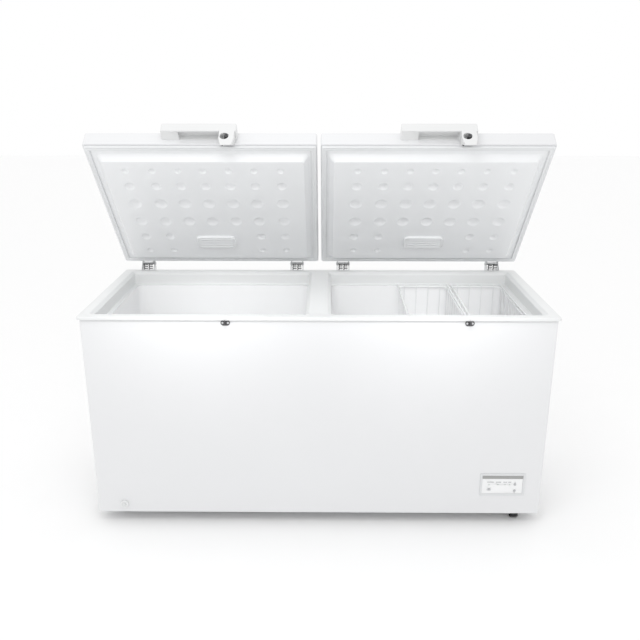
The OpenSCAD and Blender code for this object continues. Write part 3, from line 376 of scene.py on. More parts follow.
# joins rings one after another, and closes either end with a flat face
def loft(bm, loops, capFirst=False, capLast=False, closed=False):
    rings = [addRing(bm, loop) for loop in loops]
    for first, second in zip(rings, rings[1:]):
        bridge(bm, first, second)
    if closed:
        bridge(bm, rings[-1], rings[0])
    if capFirst:
        bm.faces.new(rings[0])
    if capLast:
        bm.faces.new(rings[-1])
    return rings


# fills the flat area between closed loops, the first one outside the others
def fillBetween(bm, loops):
    edges = []
    for loop in loops:
        ring = addRing(bm, loop)
        edges += [bm.edges.new((ring[i], ring[(i + 1) % len(ring)])) for i in range(len(ring))]
    return bmesh.ops.triangle_fill(bm, use_beauty=True, use_dissolve=False, edges=edges)["geom"]


# a flat sheet with holes, given thickness along an axis
def addSheet(bm, loops, push):
    geometry = fillBetween(bm, loops)
    faces = [item for item in geometry if isinstance(item, bmesh.types.BMFace)]
    result = bmesh.ops.extrude_face_region(bm, geom=faces, use_keep_orig=True)["geom"]
    bmesh.ops.translate(bm, verts=[item for item in result if isinstance(item, bmesh.types.BMVert)],
                        vec=push)


# points round a quarter circle: (how far in, how far along) for an edge rounding of the radius
def quarter(radius, steps=5):
    turns = [math.pi / 2 * i / steps for i in range(steps + 1)]
    return [(radius * (1 - math.cos(t)), radius * math.sin(t)) for t in turns]


# spins a profile of (radius, height) points about an axis through a point
def addLathe(bm, profile, centre, axis="Z", segments=48):
    rings = []
    for radius, height in profile:
        if radius < 0.01 * mm:
            rings.append([bm.verts.new(turned(0, 0, height, centre, axis))])
            continue
        ring = [2 * math.pi * i / segments for i in range(segments)]
        rings.append([bm.verts.new(turned(radius * math.cos(a), radius * math.sin(a), height, centre, axis))
                      for a in ring])
    for first, second in zip(rings, rings[1:]):
        if len(first) == 1 or len(second) == 1:
            tip, ring = (first[0], second) if len(first) == 1 else (second[0], first)
            for i in range(len(ring)):
                bm.faces.new((ring[i], ring[(i + 1) % len(ring)], tip))
        else:
            bridge(bm, first, second)
    return rings


def turned(u, v, along, centre, axis):
    offset = {"X": (along, u, v), "Y": (u, along, v), "Z": (u, v, along)}[axis]
    return Vector(centre) + Vector(offset)


# a copy of a CAD node with merged corners, clean faces and rounded edges
def refine(node, name, material, body, edge=0.5 * mm, segments=2, angle=30):
    bm = bmesh.new()
    bm.from_mesh(frame["nodes"][node].data)
    bmesh.ops.remove_doubles(bm, verts=bm.verts, dist=0.01 * mm)
    bmesh.ops.dissolve_limit(bm, angle_limit=math.radians(0.5), verts=bm.verts, edges=bm.edges)
    bmesh.ops.triangulate(bm, faces=[face for face in bm.faces if len(face.verts) > 4])
    markSharp(bm, 38)
    mesh = bpy.data.meshes.new(name)
    bm.to_mesh(mesh)
    bm.free()
    piece = addPiece(mesh, name, material, body, (node,))
    if edge:
        addBevel(piece, edge, segments, angle)
    return piece


# ---- Camera, light and floor

cameraSetup = {
    "lens": 40.68,          # for a 36 mm sensor
    "place": (0.0264, -2.6725, 1.5591),
    "tiltDown": 18.135,     # degrees
    "turnLeft": 0.503,
}


def buildCamera():
    data = bpy.data.cameras.new("shotCamera")
    data.sensor_width = 36
    data.lens = cameraSetup["lens"]
    camera = bpy.data.objects.new("shotCamera", data)
    camera.location = cameraSetup["place"]
    camera.rotation_euler = (math.radians(90 - cameraSetup["tiltDown"]), 0,
                             math.radians(cameraSetup["turnLeft"]))
    bpy.context.scene.collection.objects.link(camera)
    bpy.context.scene.camera = camera


lightSetup = {
    "worldStrength": 1.0,
    # name: (place, where it points, width, depth, spread in degrees, watts)
    "key": ((-0.3, -1.35, 2.45), (0, 0.05, 0.8), 1.0, 1.0, 180, 7),
    "leftTankFill": ((-0.4, -1.25, 1.75), (-0.4, 0.1, 0.6), 0.6, 0.3, 30, 0.5),
    "rightTankFill": ((0.4, -1.25, 1.75), (0.4, 0.1, 0.6), 0.6, 0.3, 30, 0.5),
}


def buildLights():
    world = bpy.data.worlds.new("studioWorld")
    bpy.context.scene.world = world
    world.use_nodes = True
    background = world.node_tree.nodes["Background"]
    background.inputs["Color"].default_value = (1, 1, 1, 1)
    background.inputs["Strength"].default_value = lightSetup["worldStrength"]
    for name in ("key", "leftTankFill", "rightTankFill"):
        place, target, width, depth, spreadAngle, power = lightSetup[name]
        data = bpy.data.lights.new(name, "AREA")
        data.shape = "RECTANGLE"
        data.size, data.size_y = width, depth
        data.spread = math.radians(spreadAngle)
        data.energy = power
        light = bpy.data.objects.new(name, data)
        light.visible_camera = False
        light.location = place
        light.rotation_euler = (Vector(target) - Vector(place)).to_track_quat("-Z", "Y").to_euler()
        bpy.context.scene.collection.objects.link(light)


def buildFloor():
    bm = bmesh.new()
    bmesh.ops.create_grid(bm, x_segments=2, y_segments=2, size=14)
    mesh = bpy.data.meshes.new("studioFloor")
    bm.to_mesh(mesh)
    bm.free()
    floor = bpy.data.objects.new("studioFloor", mesh)
    bpy.context.scene.collection.objects.link(floor)
    mesh.materials.append(coatedMaterial("studioPaper", (0.98, 0.98, 0.98), 0.002, 0.75, 60.0, 0.0001))


buildCamera()
buildLights()
buildFloor()
bpy.context.scene.view_settings.view_transform = "Standard"
print("camera, lights and floor placed")


# ---- Steel case

caseShape = {
    "cornerRadius": 9 * mm,
    "wrap": 6 * mm,          # how far the front sheet runs on along each side
    "seamGap": 0.4 * mm,
    "drainHole": 16 * mm,
    "sheet": 1 * mm,
}


# the front sheet, bent round both front corners
def buildFrontPanel():
    low, high = cabinetBox("front_panel")
    bezelLow, bezelHigh = cabinetBox("control_bezel")
    capLow, capHigh = cabinetBox("drain_cap")
    sheet = caseShape["sheet"]
    radius = caseShape["cornerRadius"]
    lip = 5.5 * mm
    bm = bmesh.new()
    flat = [Vector((x, low.y, z)) for x, z in ((low.x + radius, low.z), (high.x - radius, low.z),
                                               (high.x - radius, high.z), (low.x + radius, high.z))]
    x0, x1, z0, z1 = bezelLow.x + lip, bezelHigh.x - lip, bezelLow.z + lip, bezelHigh.z - lip
    panelHole = [Vector((x, low.y, z)) for x, z in ((x0, z0), (x1, z0), (x1, z1), (x0, z1))]
    drainX, drainZ = (capLow.x + capHigh.x) / 2, (capLow.z + capHigh.z) / 2
    reach = caseShape["drainHole"] / 2
    drainHole = [Vector((drainX + reach * math.cos(a), low.y, drainZ + reach * math.sin(a)))
                 for a in [2 * math.pi * i / 32 for i in range(32)]]
    fillBetween(bm, [flat, panelHole, drainHole])
    for side in (-1, 1):
        edgeX = side * high.x
        bend = [Vector((edgeX, low.y + radius + caseShape["wrap"], 0))]
        bend += [Vector((edgeX - side * inset, low.y + radius - along, 0)) for inset,
                 along in quarter(radius, 8)]
        foot, head = [addRing(bm, [p + Vector((0, 0, z)) for p in bend]) for z in (low.z, high.z)]
        for i in range(len(bend) - 1):
            bm.faces.new((foot[i], foot[i + 1], head[i + 1], head[i]))
    piece = makePiece(bm, "frontSheet", "paintedSteel", "cabinet", cabinetPlace,
                      ("front_panel",), facing=(0, -1, 0))
    addWall(piece, sheet, -1)


def buildSidePanel(side):
    node = side + "_side_panel"
    low, high = cabinetBox(node)
    frontY = cabinetBox("front_panel")[0].y + caseShape["cornerRadius"] + caseShape["wrap"]
    frontY += caseShape["seamGap"]
    outX = low.x if side == "left" else high.x
    inward = Vector((high.x - low.x if side == "left" else low.x - high.x, 0, 0))
    outline = [Vector(p) for p in ((outX, frontY, low.z), (outX, high.y, low.z), (outX, high.y, high.z),
                                   (outX, frontY, high.z))]
    holes = []
    if side == "right":
        holes = [[Vector((outX, y, z)) for y, z in capsule(slot, 3 * mm)] for slot in ventSlots(low)]
    bm = bmesh.new()
    addSheet(bm, [outline] + holes, inward)
    makePiece(bm, side + "SideSheet", "paintedSteel", "cabinet", cabinetPlace, (node,))


ventRows = {"count": 8, "pitch": 22 * mm, "firstHeight": 60 * mm, "fromFront": 150 * mm, "length": 126 * mm}


# middles of the ventilation slots as (y, z) ends
def ventSlots(low):
    middle = cabinetBox("front_panel")[0].y + ventRows["fromFront"]
    half = ventRows["length"] / 2
    return [(middle - half, middle + half, low.z + ventRows["firstHeight"] + i * ventRows["pitch"])
            for i in range(ventRows["count"])]


def capsule(slot, radius, steps=8):
    start, end, z = slot
    points = []
    for centre, first in ((end - radius, -90), (start + radius, 90)):
        for i in range(steps + 1):
            turn = math.radians(first + 180 * i / steps)
            points.append((centre + radius * math.cos(turn), z + radius * math.sin(turn)))
    return points


def buildBackPanel():
    low, high = cabinetBox("back_panel")
    coverLow, coverHigh = cabinetBox("service_cover")
    margin = 14 * mm
    outline = [Vector(p) for p in ((low.x, high.y, low.z), (high.x, high.y, low.z),
                                   (high.x, high.y, high.z), (low.x, high.y, high.z))]
    hole = roundedLoop(coverLow.x + margin, coverHigh.x - margin, coverLow.z + margin, coverHigh.z - margin,
                       0, 6 * mm)
    hole = [Vector((p.x, high.y, p.y)) for p in hole]
    bm = bmesh.new()
    addSheet(bm, [outline, hole], Vector((0, low.y - high.y, 0)))
    makePiece(bm, "backSheet", "backSteel", "cabinet", cabinetPlace, ("back_panel",))


buildFrontPanel()
buildSidePanel("left")
buildSidePanel("right")
buildBackPanel()
print("case made")


# ---- Top frame and tanks

rimShape = {
    "cornerRadius": 12 * mm,
    "edgeRadius": 3 * mm,
    "openingRadius": 7 * mm,
    "softEdge": 1.6 * mm,
    "chamfer": (11 * mm, 10 * mm),
    "ledgeDepth": 50 * mm,
    "wall": 2.3 * mm,
    "tankWall": 2 * mm,
    "deck": 36 * mm,             # flat width between the rim and the chamfer
    "skirt": 11 * mm,            # how far the outer edge hangs down
}


# tank's inner box: x0, x1, y0, y1, its inner floor height and its top
def tankBox(side):
    low, high = cabinetBox(side + "_tank")
    wall = rimShape["tankWall"]
    return (low.x + wall, high.x - wall, low.y + wall, high.y - wall), low.z + wall, high.z


# opening of the top frame round a tank: the upright wall under the chamfer
def openingBox(side):
    chamfer, deck = rimShape["chamfer"][0], rimShape["deck"]
    far = rimHigh.x - deck - chamfer
    near = tankBox("right")[0][0] - rimShape["tankWall"]
    frontY = cabinetBox("top_frame")[0].y + deck + chamfer
    box = (near, far, frontY, -deck - chamfer)
    return box if side == "right" else (-far, -near, frontY, -deck - chamfer)


def buildTopFrame():
    low, high = cabinetBox("top_frame")
    box = (low.x, high.x, low.y, high.y)
    edge, soft = rimShape["edgeRadius"], rimShape["softEdge"]
    corner = rimShape["cornerRadius"]
    lipBottom = -rimShape["skirt"]
    bm = bmesh.new()
    foldIn = rimShape["wall"] + 0.2 * mm
    outer = [insetLoop(box, foldIn, lipBottom, corner - foldIn),
             insetLoop(box, 1 * mm, lipBottom, corner - 1 * mm),
             insetLoop(box, 0.3 * mm, lipBottom + 0.3 * mm, corner - 0.3 * mm),
             insetLoop(box, 0, lipBottom + 1 * mm, corner)]
    outer += [insetLoop(box, inset, -edge + along, corner - inset) for inset, along in quarter(edge)]
    loft(bm, outer)
    deckLoops = [insetLoop(box, edge, 0, corner - edge)]
    for side in sides:
        opening = openingBox(side)
        wide, deep = rimShape["chamfer"]
        radius = rimShape["openingRadius"]
        ledge = rimShape["ledgeDepth"]
        inner = [insetLoop(opening, inset, z, bend) for inset, z, bend in (
            (-wide - soft, 0, radius + wide), (-wide - 0.5 * soft, -0.15 * soft, radius + wide),
            (-wide, -0.6 * soft, radius + wide), (-0.12 * wide, -0.88 * deep, radius + 0.1 * wide),
            (-0.03 * wide, -deep, radius), (0, -deep - 1.2 * mm, radius), (0, -ledge + 2 * mm, radius),
            (0.6 * mm, -ledge + 0.6 * mm, radius), (2 * mm, -ledge, radius))]
        deckLoops.append(inner[0])
        loft(bm, inner)
        tank = tankBox(side)[0]
        rimRadius = tankShape["cornerRadius"]
        fillBetween(bm, [inner[-1], insetLoop(tank, -1.5 * mm, -ledge, rimRadius + 1.5 * mm, 8)])
        loft(bm, [insetLoop(tank, -1.5 * mm, -ledge, rimRadius + 1.5 * mm, 8),
                  insetLoop(tank, -0.4 * mm, -ledge - 0.4 * mm, rimRadius + 0.4 * mm, 8),
                  insetLoop(tank, 0, -ledge - 1.5 * mm, rimRadius, 8),
                  insetLoop(tank, 0, -ledge - rimShape["wall"], rimRadius, 8)])
    fillBetween(bm, deckLoops)
    piece = makePiece(bm, "topFrameMoulding", "frameMoulding", "cabinet", cabinetPlace,
                      ("top_frame",))
    addWall(piece, rimShape["wall"], -1)


tankShape = {
    "cornerRadius": 30 * mm,
    "floorRadius": 18 * mm,
    "sheet": 1.8 * mm,
    "shelfMargin": 1.2 * mm,
}


def tankWalls(bm, box, top, floor, cap):
    corner, foot = tankShape["cornerRadius"], tankShape["floorRadius"]
    loops = [insetLoop(box, 0, top, corner, 8), insetLoop(box, 0, floor + foot, corner, 8)]
    loops += [insetLoop(box, foot - inset, floor + foot - along, corner, 8)
              for inset, along in [(foot * math.cos(t), foot * math.sin(t)) for t in
                                   [math.pi / 2 * i / 6 for i in range(1, 7)]]]
    loft(bm, loops, False, cap)
    return loops[-1]


def buildLeftTank():
    box, floor, top = tankBox("left")
    stopLow, stopHigh = cabinetBox("drain_stopper")
    centre = ((stopLow.x + stopHigh.x) / 2, (stopLow.y + stopHigh.y) / 2, floor)
    bm = bmesh.new()
    last = tankWalls(bm, box, top, floor, False)
    dish = [[turned(r * math.cos(a), r * math.sin(a), drop, centre, "Z") for a in
             [2 * math.pi * i / 32 for i in range(32)]] for r,
            drop in ((26 * mm, 0), (20 * mm, -0.5 * mm), (7 * mm, -1 * mm))]
    fillBetween(bm, [last, dish[0]])
    loft(bm, dish)
    piece = makePiece(bm, "leftTankLiner", "tankLining", "cabinet", cabinetPlace,
                      ("left_tank",))
    addWall(piece, tankShape["sheet"], 1)


def buildRightTank():
    box, floor, top = tankBox("right")
    bayTop = cabinetBox("refrigerant_pipes")[1].z
    wall = cabinetBox("front_panel")[1].x - box[1]
    shelfZ = bayTop + wall
    margin = tankShape["shelfMargin"]
    baySide = cabinetBox("filter_drier")[0].x
    lowBox = (box[0] + margin, baySide - wall, box[2] + margin, box[3] - margin)
    bm = bmesh.new()
    corner = tankShape["cornerRadius"]
    loft(bm, [insetLoop(box, 0, top, corner, 8), insetLoop(box, 0, shelfZ, corner, 8)])
    rounding = [insetLoop(lowBox, -0.2 * mm, shelfZ, corner, 8),
                insetLoop(lowBox, 0, shelfZ - 0.3 * mm, corner, 8)]
    fillBetween(bm, [insetLoop(box, 0, shelfZ, corner, 8), rounding[0]])
    loft(bm, rounding)
    tankWalls(bm, lowBox, shelfZ - 0.3 * mm, floor, True)
    piece = makePiece(bm, "rightTankLiner", "tankLining", "cabinet", cabinetPlace,
                      ("right_tank",))
    addWall(piece, tankShape["sheet"], 1)


buildTopFrame()
buildLeftTank()
buildRightTank()
print("top frame and tanks made")


# ---- Lids

lidShape = {
    "cornerRadius": 8 * mm,
    "topEdge": 5 * mm,
    "flange": 9 * mm,        # folded edge under the skin
    "sheet": 0.9 * mm,
}

liningShape = {
    "rimStep": 1.2 * mm,
    "wall": 1.6 * mm,
    # mm ahead of the middle, diameter
    "rows": ((231, 27), (152, 38), (58, 48), (-44, 46), (-137, 36), (-224, 27)),
    "columns": (-3.06, -2, -1, 0, 1, 2, 3.06),
    "columnPitch": 91 * mm,
    "dimpleDepth": 5.2 * mm,
    "cornerWide": 17 * mm,       # plug's corner where it leaves the lid, and where it ends
    "cornerNarrow": 7 * mm,
    "plainRows": 2,              # rows at the rear that make room for the lamp
    "slope": (18 * mm, 25 * mm), # run and rise of the plug's sides
}


def buildLidSkin(side):
    node = side + "_lid_skin"
    place = lidPlace(side)
    low, high = localBox(node, place)
    box = (low.x, high.x, low.y, high.y)
    corner, edge = lidShape["cornerRadius"], lidShape["topEdge"]
    bm = bmesh.new()
    loops = [insetLoop(box, lidShape["flange"], low.z + 0.6 * mm, corner),
             insetLoop(box, 2.4 * mm, low.z + 0.1 * mm, corner - 2 * mm),
             insetLoop(box, 1.2 * mm, low.z, corner - 1 * mm),
             insetLoop(box, 0.35 * mm, low.z + 0.35 * mm, corner - 0.3 * mm),
             insetLoop(box, 0, low.z + 1.2 * mm, corner)]
    loops += [insetLoop(box, inset, high.z - edge + along, corner - inset) for inset,
              along in quarter(edge, 6)]
    loft(bm, loops, False, True)
    piece = makePiece(bm, side + "LidShell", "paintedSteel", side + "_lid", place, (node,))
    addWall(piece, lidShape["sheet"], -1)


cellSteps = 10          # short edges along each side of a cell


# one cell of the lining: a shallow dish in the middle of a flat rectangle
def addDimpleCell(bm, cell, centre, diameter, z, depth):
    x0, x1, y0, y1 = cell
    corners = ((x1, y0), (x1, y1), (x0, y1), (x0, y0))
    border = []
    for i in range(4):
        start, end = corners[i], corners[(i + 1) % 4]
        for k in range(cellSteps):
            share = k / cellSteps
            border.append(Vector((start[0] + (end[0] - start[0]) * share,
                                  start[1] + (end[1] - start[1]) * share, z)))
    if diameter is None:
        bm.faces.new(addRing(bm, border))
        return
    radius = diameter / 2
    profile = [(1.1, 0), (1.03, 0.02), (0.97, 0.1), (0.9, 0.27), (0.8, 0.46), (0.65, 0.67), (0.45, 0.85),
               (0.22, 0.96)]
    rings = [border]
    for share, sunk in profile:
        ring = []
        for point in border:
            turn = math.atan2(point.y - centre[1], point.x - centre[0])
            ring.append(Vector((centre[0] + radius * share * math.cos(turn),
                                centre[1] + radius * share * math.sin(turn),
                                z + sunk * depth)))
        rings.append(ring)
    made = loft(bm, rings)
    tip = bm.verts.new((centre[0], centre[1], z + depth))
    for i in range(len(made[-1])):
        bm.faces.new((made[-1][i], made[-1][(i + 1) % len(made[-1])], tip))


def halfway(values, low, high):
    return [low] + [(a + b) / 2 for a, b in zip(values, values[1:])] + [high]


def buildLidLining(side):
    node = side + "_lid_lining"
    place = lidPlace(side)
    low, high = localBox(node, place)
    slopeWide, slopeDeep = liningShape["slope"]
    rimZ = low.z + slopeDeep
    middle = (openingBox(side)[2] + openingBox(side)[3]) / 2
    lidX = joints[side + "_lid_hinge"]["pos_m"][0]
    grow = rimShape["chamfer"][0] - 3 * mm
    x0, x1, y0, y1 = openingBox(side)
    plug = (x0 - grow - lidX, x1 + grow - lidX, y0 - grow, y1 + grow)
    outerBox = (low.x + 8 * mm, high.x - 8 * mm, low.y + 8 * mm, high.y - 8 * mm)
    step = liningShape["rimStep"]
    wideCorner, narrowCorner = liningShape["cornerWide"], liningShape["cornerNarrow"]
    bm = bmesh.new()
    # moulded step where the gasket is pressed in, then the slopes of the plug
    rim = [insetLoop(outerBox, 0, rimZ, 4 * mm), insetLoop(outerBox, 12 * mm, rimZ, 4 * mm),
           insetLoop(outerBox, 13 * mm, rimZ - step, 4 * mm)]
    loft(bm, rim)
    slope = [insetLoop(plug, -2.5 * mm, rimZ - step, wideCorner, 10),
             insetLoop(plug, -0.6 * mm, rimZ - step - 0.4 * mm, wideCorner, 10),
             insetLoop(plug, 1 * mm, rimZ - step - 2 * mm, wideCorner - 1 * mm, 10)]
    for share in (0.25, 0.5, 0.75, 0.88):
        slope.append(insetLoop(plug, slopeWide * share, rimZ - slopeDeep * share - 0.4 * mm,
                               wideCorner + (narrowCorner - wideCorner) * share, 10))
    slope += [insetLoop(plug, slopeWide * 0.96, low.z + 0.35 * mm, narrowCorner, 10),
              insetLoop(plug, slopeWide + 2 * mm, low.z, narrowCorner - 1 * mm, 10)]
    fillBetween(bm, [rim[-1], slope[0]])
    loft(bm, slope)
    columns = [c * liningShape["columnPitch"] for c in liningShape["columns"]]
    rows = [middle - ahead * mm for ahead, _ in liningShape["rows"]]
    halfColumn = liningShape["columnPitch"] / 2
    xLines = halfway(columns, columns[0] - halfColumn * 0.8, columns[-1] + halfColumn * 0.8)
    yLines = halfway(rows, rows[0] - 20 * mm, rows[-1] + 22 * mm)
    for r, y in enumerate(rows):
        for c, x in enumerate(columns):
            lampPlace = r >= len(rows) - liningShape["plainRows"] and abs(c - 3) <= 1
            diameter = None if lampPlace else liningShape["rows"][r][1] * mm
            addDimpleCell(bm, (xLines[c], xLines[c + 1], yLines[r], yLines[r + 1]), (x, y), diameter, low.z,
                          liningShape["dimpleDepth"])
    # the grid's outer edge, cut as finely as the cells' own edges
    corners = [Vector((x, yLines[0], low.z)) for x in xLines]
    corners += [Vector((xLines[-1], y, low.z)) for y in yLines[1:]]
    corners += [Vector((x, yLines[-1], low.z)) for x in reversed(xLines[:-1])]
    corners += [Vector((xLines[0], y, low.z)) for y in reversed(yLines[:-1])]
    gridEdge = [start.lerp(end, k / cellSteps) for start, end in zip(corners, corners[1:])
                for k in range(cellSteps)]
    fillBetween(bm, [slope[-1], gridEdge])
    piece = makePiece(bm, side + "LidLiner", "lidLining", side + "_lid", place, (node,))
    addWall(piece, liningShape["wall"], -1)
    # foam behind the lining
    foamLow, foamHigh = localBox(side + "_lid_foam", place)
    foamBox = (foamLow.x, foamHigh.x, foamLow.y, foamHigh.y)
    behind = liningShape["dimpleDepth"] + 2.5 * mm
    bm = bmesh.new()
    soft = 4 * mm
    loft(bm, [insetLoop(foamBox, soft, foamHigh.z, 6 * mm), insetLoop(foamBox, 0, foamHigh.z - soft, 6 * mm),
              insetLoop(foamBox, 0, rimZ + 3.5 * mm, 6 * mm)], True)
    loft(bm, [insetLoop(plug, 7 * mm, rimZ + 3.5 * mm, wideCorner, 10),
              insetLoop(plug, slopeWide + 5 * mm, low.z + behind, narrowCorner, 10)], False, True)
    fillBetween(bm, [insetLoop(foamBox, 0, rimZ + 3.5 * mm, 6 * mm),
                     insetLoop(plug, 7 * mm, rimZ + 3.5 * mm, wideCorner, 10)])
    makePiece(bm, side + "LidInsulation", "insulation", side + "_lid", place, (side + "_lid_foam",))


gasketShape = {"corner": 5 * mm, "width": 18 * mm}


# hollow vinyl strip: a foot in the lid, a bellows and a magnet pocket
def buildGasket(side):
    node = side + "_gasket"
    place = lidPlace(side)
    low, high = localBox(node, place)
    box = (low.x, high.x, low.y, high.y)
    tall, wide = high.z - low.z, gasketShape["width"]
    # mm in from the outer edge, and height as a share
    section = [(0.8, 1.0), (0.3, 0.86), (0.6, 0.72), (1.5, 0.62), (0.7, 0.5), (0.2, 0.34), (0.3, 0.16),
               (1.1, 0.04), (3.0, 0.0), (8.8, 0.02), (9.0, 0.07), (9.4, 0.02), (15.0, 0.0), (16.9, 0.04),
               (17.7, 0.16), (17.8, 0.34), (17.2, 0.5), (16.4, 0.62), (17.3, 0.72), (17.6, 0.86),
               (17.2, 1.0)]
    bm = bmesh.new()
    loops = [insetLoop(box, inset / 18 * wide, low.z + share * tall,
                       max(gasketShape["corner"] - inset * mm * 0.15, 2 * mm))
             for inset, share in section]
    loft(bm, loops, closed=True)
    makePiece(bm, side + "Seal", "gasketVinyl", side + "_lid", place, (node,),
              sharpAngle=60)


lampShape = {"edge": 4 * mm, "corner": 20 * mm, "ribs": 4, "ribWidth": 3 * mm, "ribHeight": 1 * mm,
             "margin": 9 * mm}


def buildLampCover(side):
    node = side + "_lamp_cover"
    place = lidPlace(side)
    low, high = localBox(node, place)
    box = (low.x, high.x, low.y, high.y)
    edge, corner, margin = lampShape["edge"], lampShape["corner"], lampShape["margin"]
    raised = lampShape["ribHeight"]
    bm = bmesh.new()
    loops = [insetLoop(box, 0, high.z, corner, 8)]
    loops += [insetLoop(box, inset, low.z + raised + edge - along, corner - inset, 8) for inset,
              along in quarter(edge, 6)]
    loops += [insetLoop(box, margin, low.z + raised, corner - margin, 8),
              insetLoop(box, margin + 0.6 * mm, low.z + raised + 0.6 * mm, corner - margin, 8)]
    loft(bm, loops, False, True)
    piece = makePiece(bm, side + "LampWindow", "lampDiffuser", side + "_lid", place,
                      (node,), sharpAngle=50)
    addWall(piece, 1.2 * mm, -1)
    count, wide = lampShape["ribs"], lampShape["ribWidth"]
    first, last = low.y + margin + 4 * mm, high.y - margin - 4 * mm
    bm = bmesh.new()
    for i in range(count):
        y = first + (last - first) * i / (count - 1)
        arc = [(y + wide / 2 * math.cos(a), low.z + raised + 0.8 * mm - (raised + 0.6 * mm) * math.sin(a))
               for a in [math.pi * k / 8 for k in range(9)]]
        loft(bm, [[Vector((x, v, z)) for v, z in arc] for x in (low.x + margin + 6 * mm,
                                                                high.x - margin - 6 * mm)], True, True)
    makePiece(bm, side + "LampRibs", "lampDiffuser", side + "_lid", place)


handleShape = {
    "barHeight": 37 * mm,
    "corner": 5 * mm,
    "edge": 3 * mm,
    "lip": 1.2 * mm,
    "gripWidth": 142 * mm,
    "gripDepth": 23 * mm,
    "gripWall": 7 * mm,
    "tabMiddle": 99 * mm,
    "tabWidth": 53 * mm,
    "tabEndWidth": 38 * mm,
    "tabShoulder": -6 * mm,      # height at which the tab begins to narrow
    "tabTip": 3 * mm,
    "tabRise": 1.2,
    "tabGap": 4.5 * mm,          # from the tab's back to the lid
    "pocketDepth": 11 * mm,
    "tabWall": 2.5 * mm,
    "lockGap": 0.12 * mm,
}


# a rectangle with round front corners and square rear corners
def frontLoop(x0, x1, y0, y1, z, radius, steps=6):
    points = [Vector((x1, y1, z)), Vector((x0, y1, z))]
    for cx, start in ((x0 + radius, 180), (x1 - radius, 270)):
        for i in range(steps + 1):
            turn = math.radians(start + 90 * i / steps)
            points.append(Vector((cx + radius * math.cos(turn), y0 + radius + radius * math.sin(turn), z)))
    return points


def buildHandle(side):
    node = side + "_handle"
    place = lidPlace(side)
    low, high = localBox(node, place)
    shape = handleShape
    corner, edge, lip = shape["corner"], shape["edge"], shape["lip"]
    under = high.z - shape["barHeight"]

    def bar(inset, z):
        return frontLoop(low.x + inset, high.x - inset, low.y + inset, high.y, z, corner - inset * 0.6)

    bm = bmesh.new()
    loft(bm, [bar(lip, under), bar(0.3 * lip, under + 0.3 * lip), bar(0, under + lip)]
         + [bar(inset, high.z - edge + along) for inset, along in quarter(edge)], False, True)
    half = shape["gripWidth"] / 2
    grip = (-half, half, low.y + shape["gripWall"], high.y - 0.8 * mm)
    ceiling = under + shape["gripDepth"]
    hollow = [insetLoop(grip, -0.7 * lip, under, 4 * mm),
              insetLoop(grip, -0.2 * lip, under + 0.3 * lip, 3.4 * mm),
              insetLoop(grip, 0, under + lip, 3 * mm), insetLoop(grip, 0, ceiling - 2 * mm, 3 * mm),
              insetLoop(grip, 0.6 * mm, ceiling - 0.6 * mm, 3 * mm),
              insetLoop(grip, 2 * mm, ceiling, 2 * mm)]
    loft(bm, hollow, False, True)
    fillBetween(bm, [bar(lip, under), hollow[0]])
    makePiece(bm, side + "HandleBar", "handleMoulding", side + "_lid", place, (node,))
    # lock tab: a front block and two side walls, cut off on a slope below
    front, back = low.y + 0.25 * mm, high.y - shape["tabGap"]
    pocket = back - shape["pocketDepth"]
    tip, shoulder, middle = low.z, shape["tabShoulder"], shape["tabMiddle"]

    def halfWidth(z):
        share = min(1, max(0, (z - tip) / (shoulder - tip)))
        return (shape["tabEndWidth"] + (shape["tabWidth"] - shape["tabEndWidth"]) * share) / 2

    def reachBack(z):
        return low.y + shape["tabTip"] + (z - tip) / shape["tabRise"]

    def tabLoop(z, inset=0.0):
        wide = halfWidth(z) - inset
        return frontLoop(middle - wide, middle + wide, front + inset, min(pocket, reachBack(z)), z,
                         3 * mm - inset)

    atPocket = tip + (pocket - low.y - shape["tabTip"]) * shape["tabRise"]
    atBack = tip + (back - low.y - shape["tabTip"]) * shape["tabRise"]
    top = under + 8 * mm
    levels = sorted((tip + 0.8 * mm, tip + 8 * mm, tip + 16 * mm, tip + 24 * mm, shoulder, atPocket, 4 * mm,
                     top))
    bm = bmesh.new()
    loft(bm, [tabLoop(tip, 0.7 * mm), tabLoop(tip + 0.25 * mm, 0.25 * mm)] + [tabLoop(z) for z in levels],
         True, True)
    tab = makePiece(bm, side + "LockTab", "handleMoulding", side + "_lid", place)
    # the hole that the lock cylinder turns in
    lockLow, lockHigh = localBox(side + "_lock", place)
    reach = (lockHigh.x - lockLow.x) / 2 + shape["lockGap"]
    centre = ((lockLow.x + lockHigh.x) / 2, 0, (lockLow.z + lockHigh.z) / 2)
    ends = (front - 5 * mm, pocket + 3 * mm)
    drill(tab, [(0, ends[0]), (reach, ends[0]), (reach, ends[1]), (0, ends[1])], centre, place)
    bm = bmesh.new()
    for across in (-1, 1):
        outer, inner = middle + across * halfWidth(top), middle + across * (halfWidth(top)
                                                                            - shape["tabWall"])
        profile = ((pocket - 1 * mm, atPocket - 0.5 * mm), (back, atBack), (back, top),
                   (pocket - 1 * mm, top))
        loft(bm, [[Vector((x, y, z)) for y, z in profile] for x in (outer, inner)], True, True)
    makePiece(bm, side + "LockTabSides", "handleMoulding", side + "_lid", place)


for side in sides:
    buildLidSkin(side)
    buildLidLining(side)
    buildGasket(side)
    buildLampCover(side)
    buildHandle(side)
print("lids made")

# ---- Pieces grown by Geometry Nodes

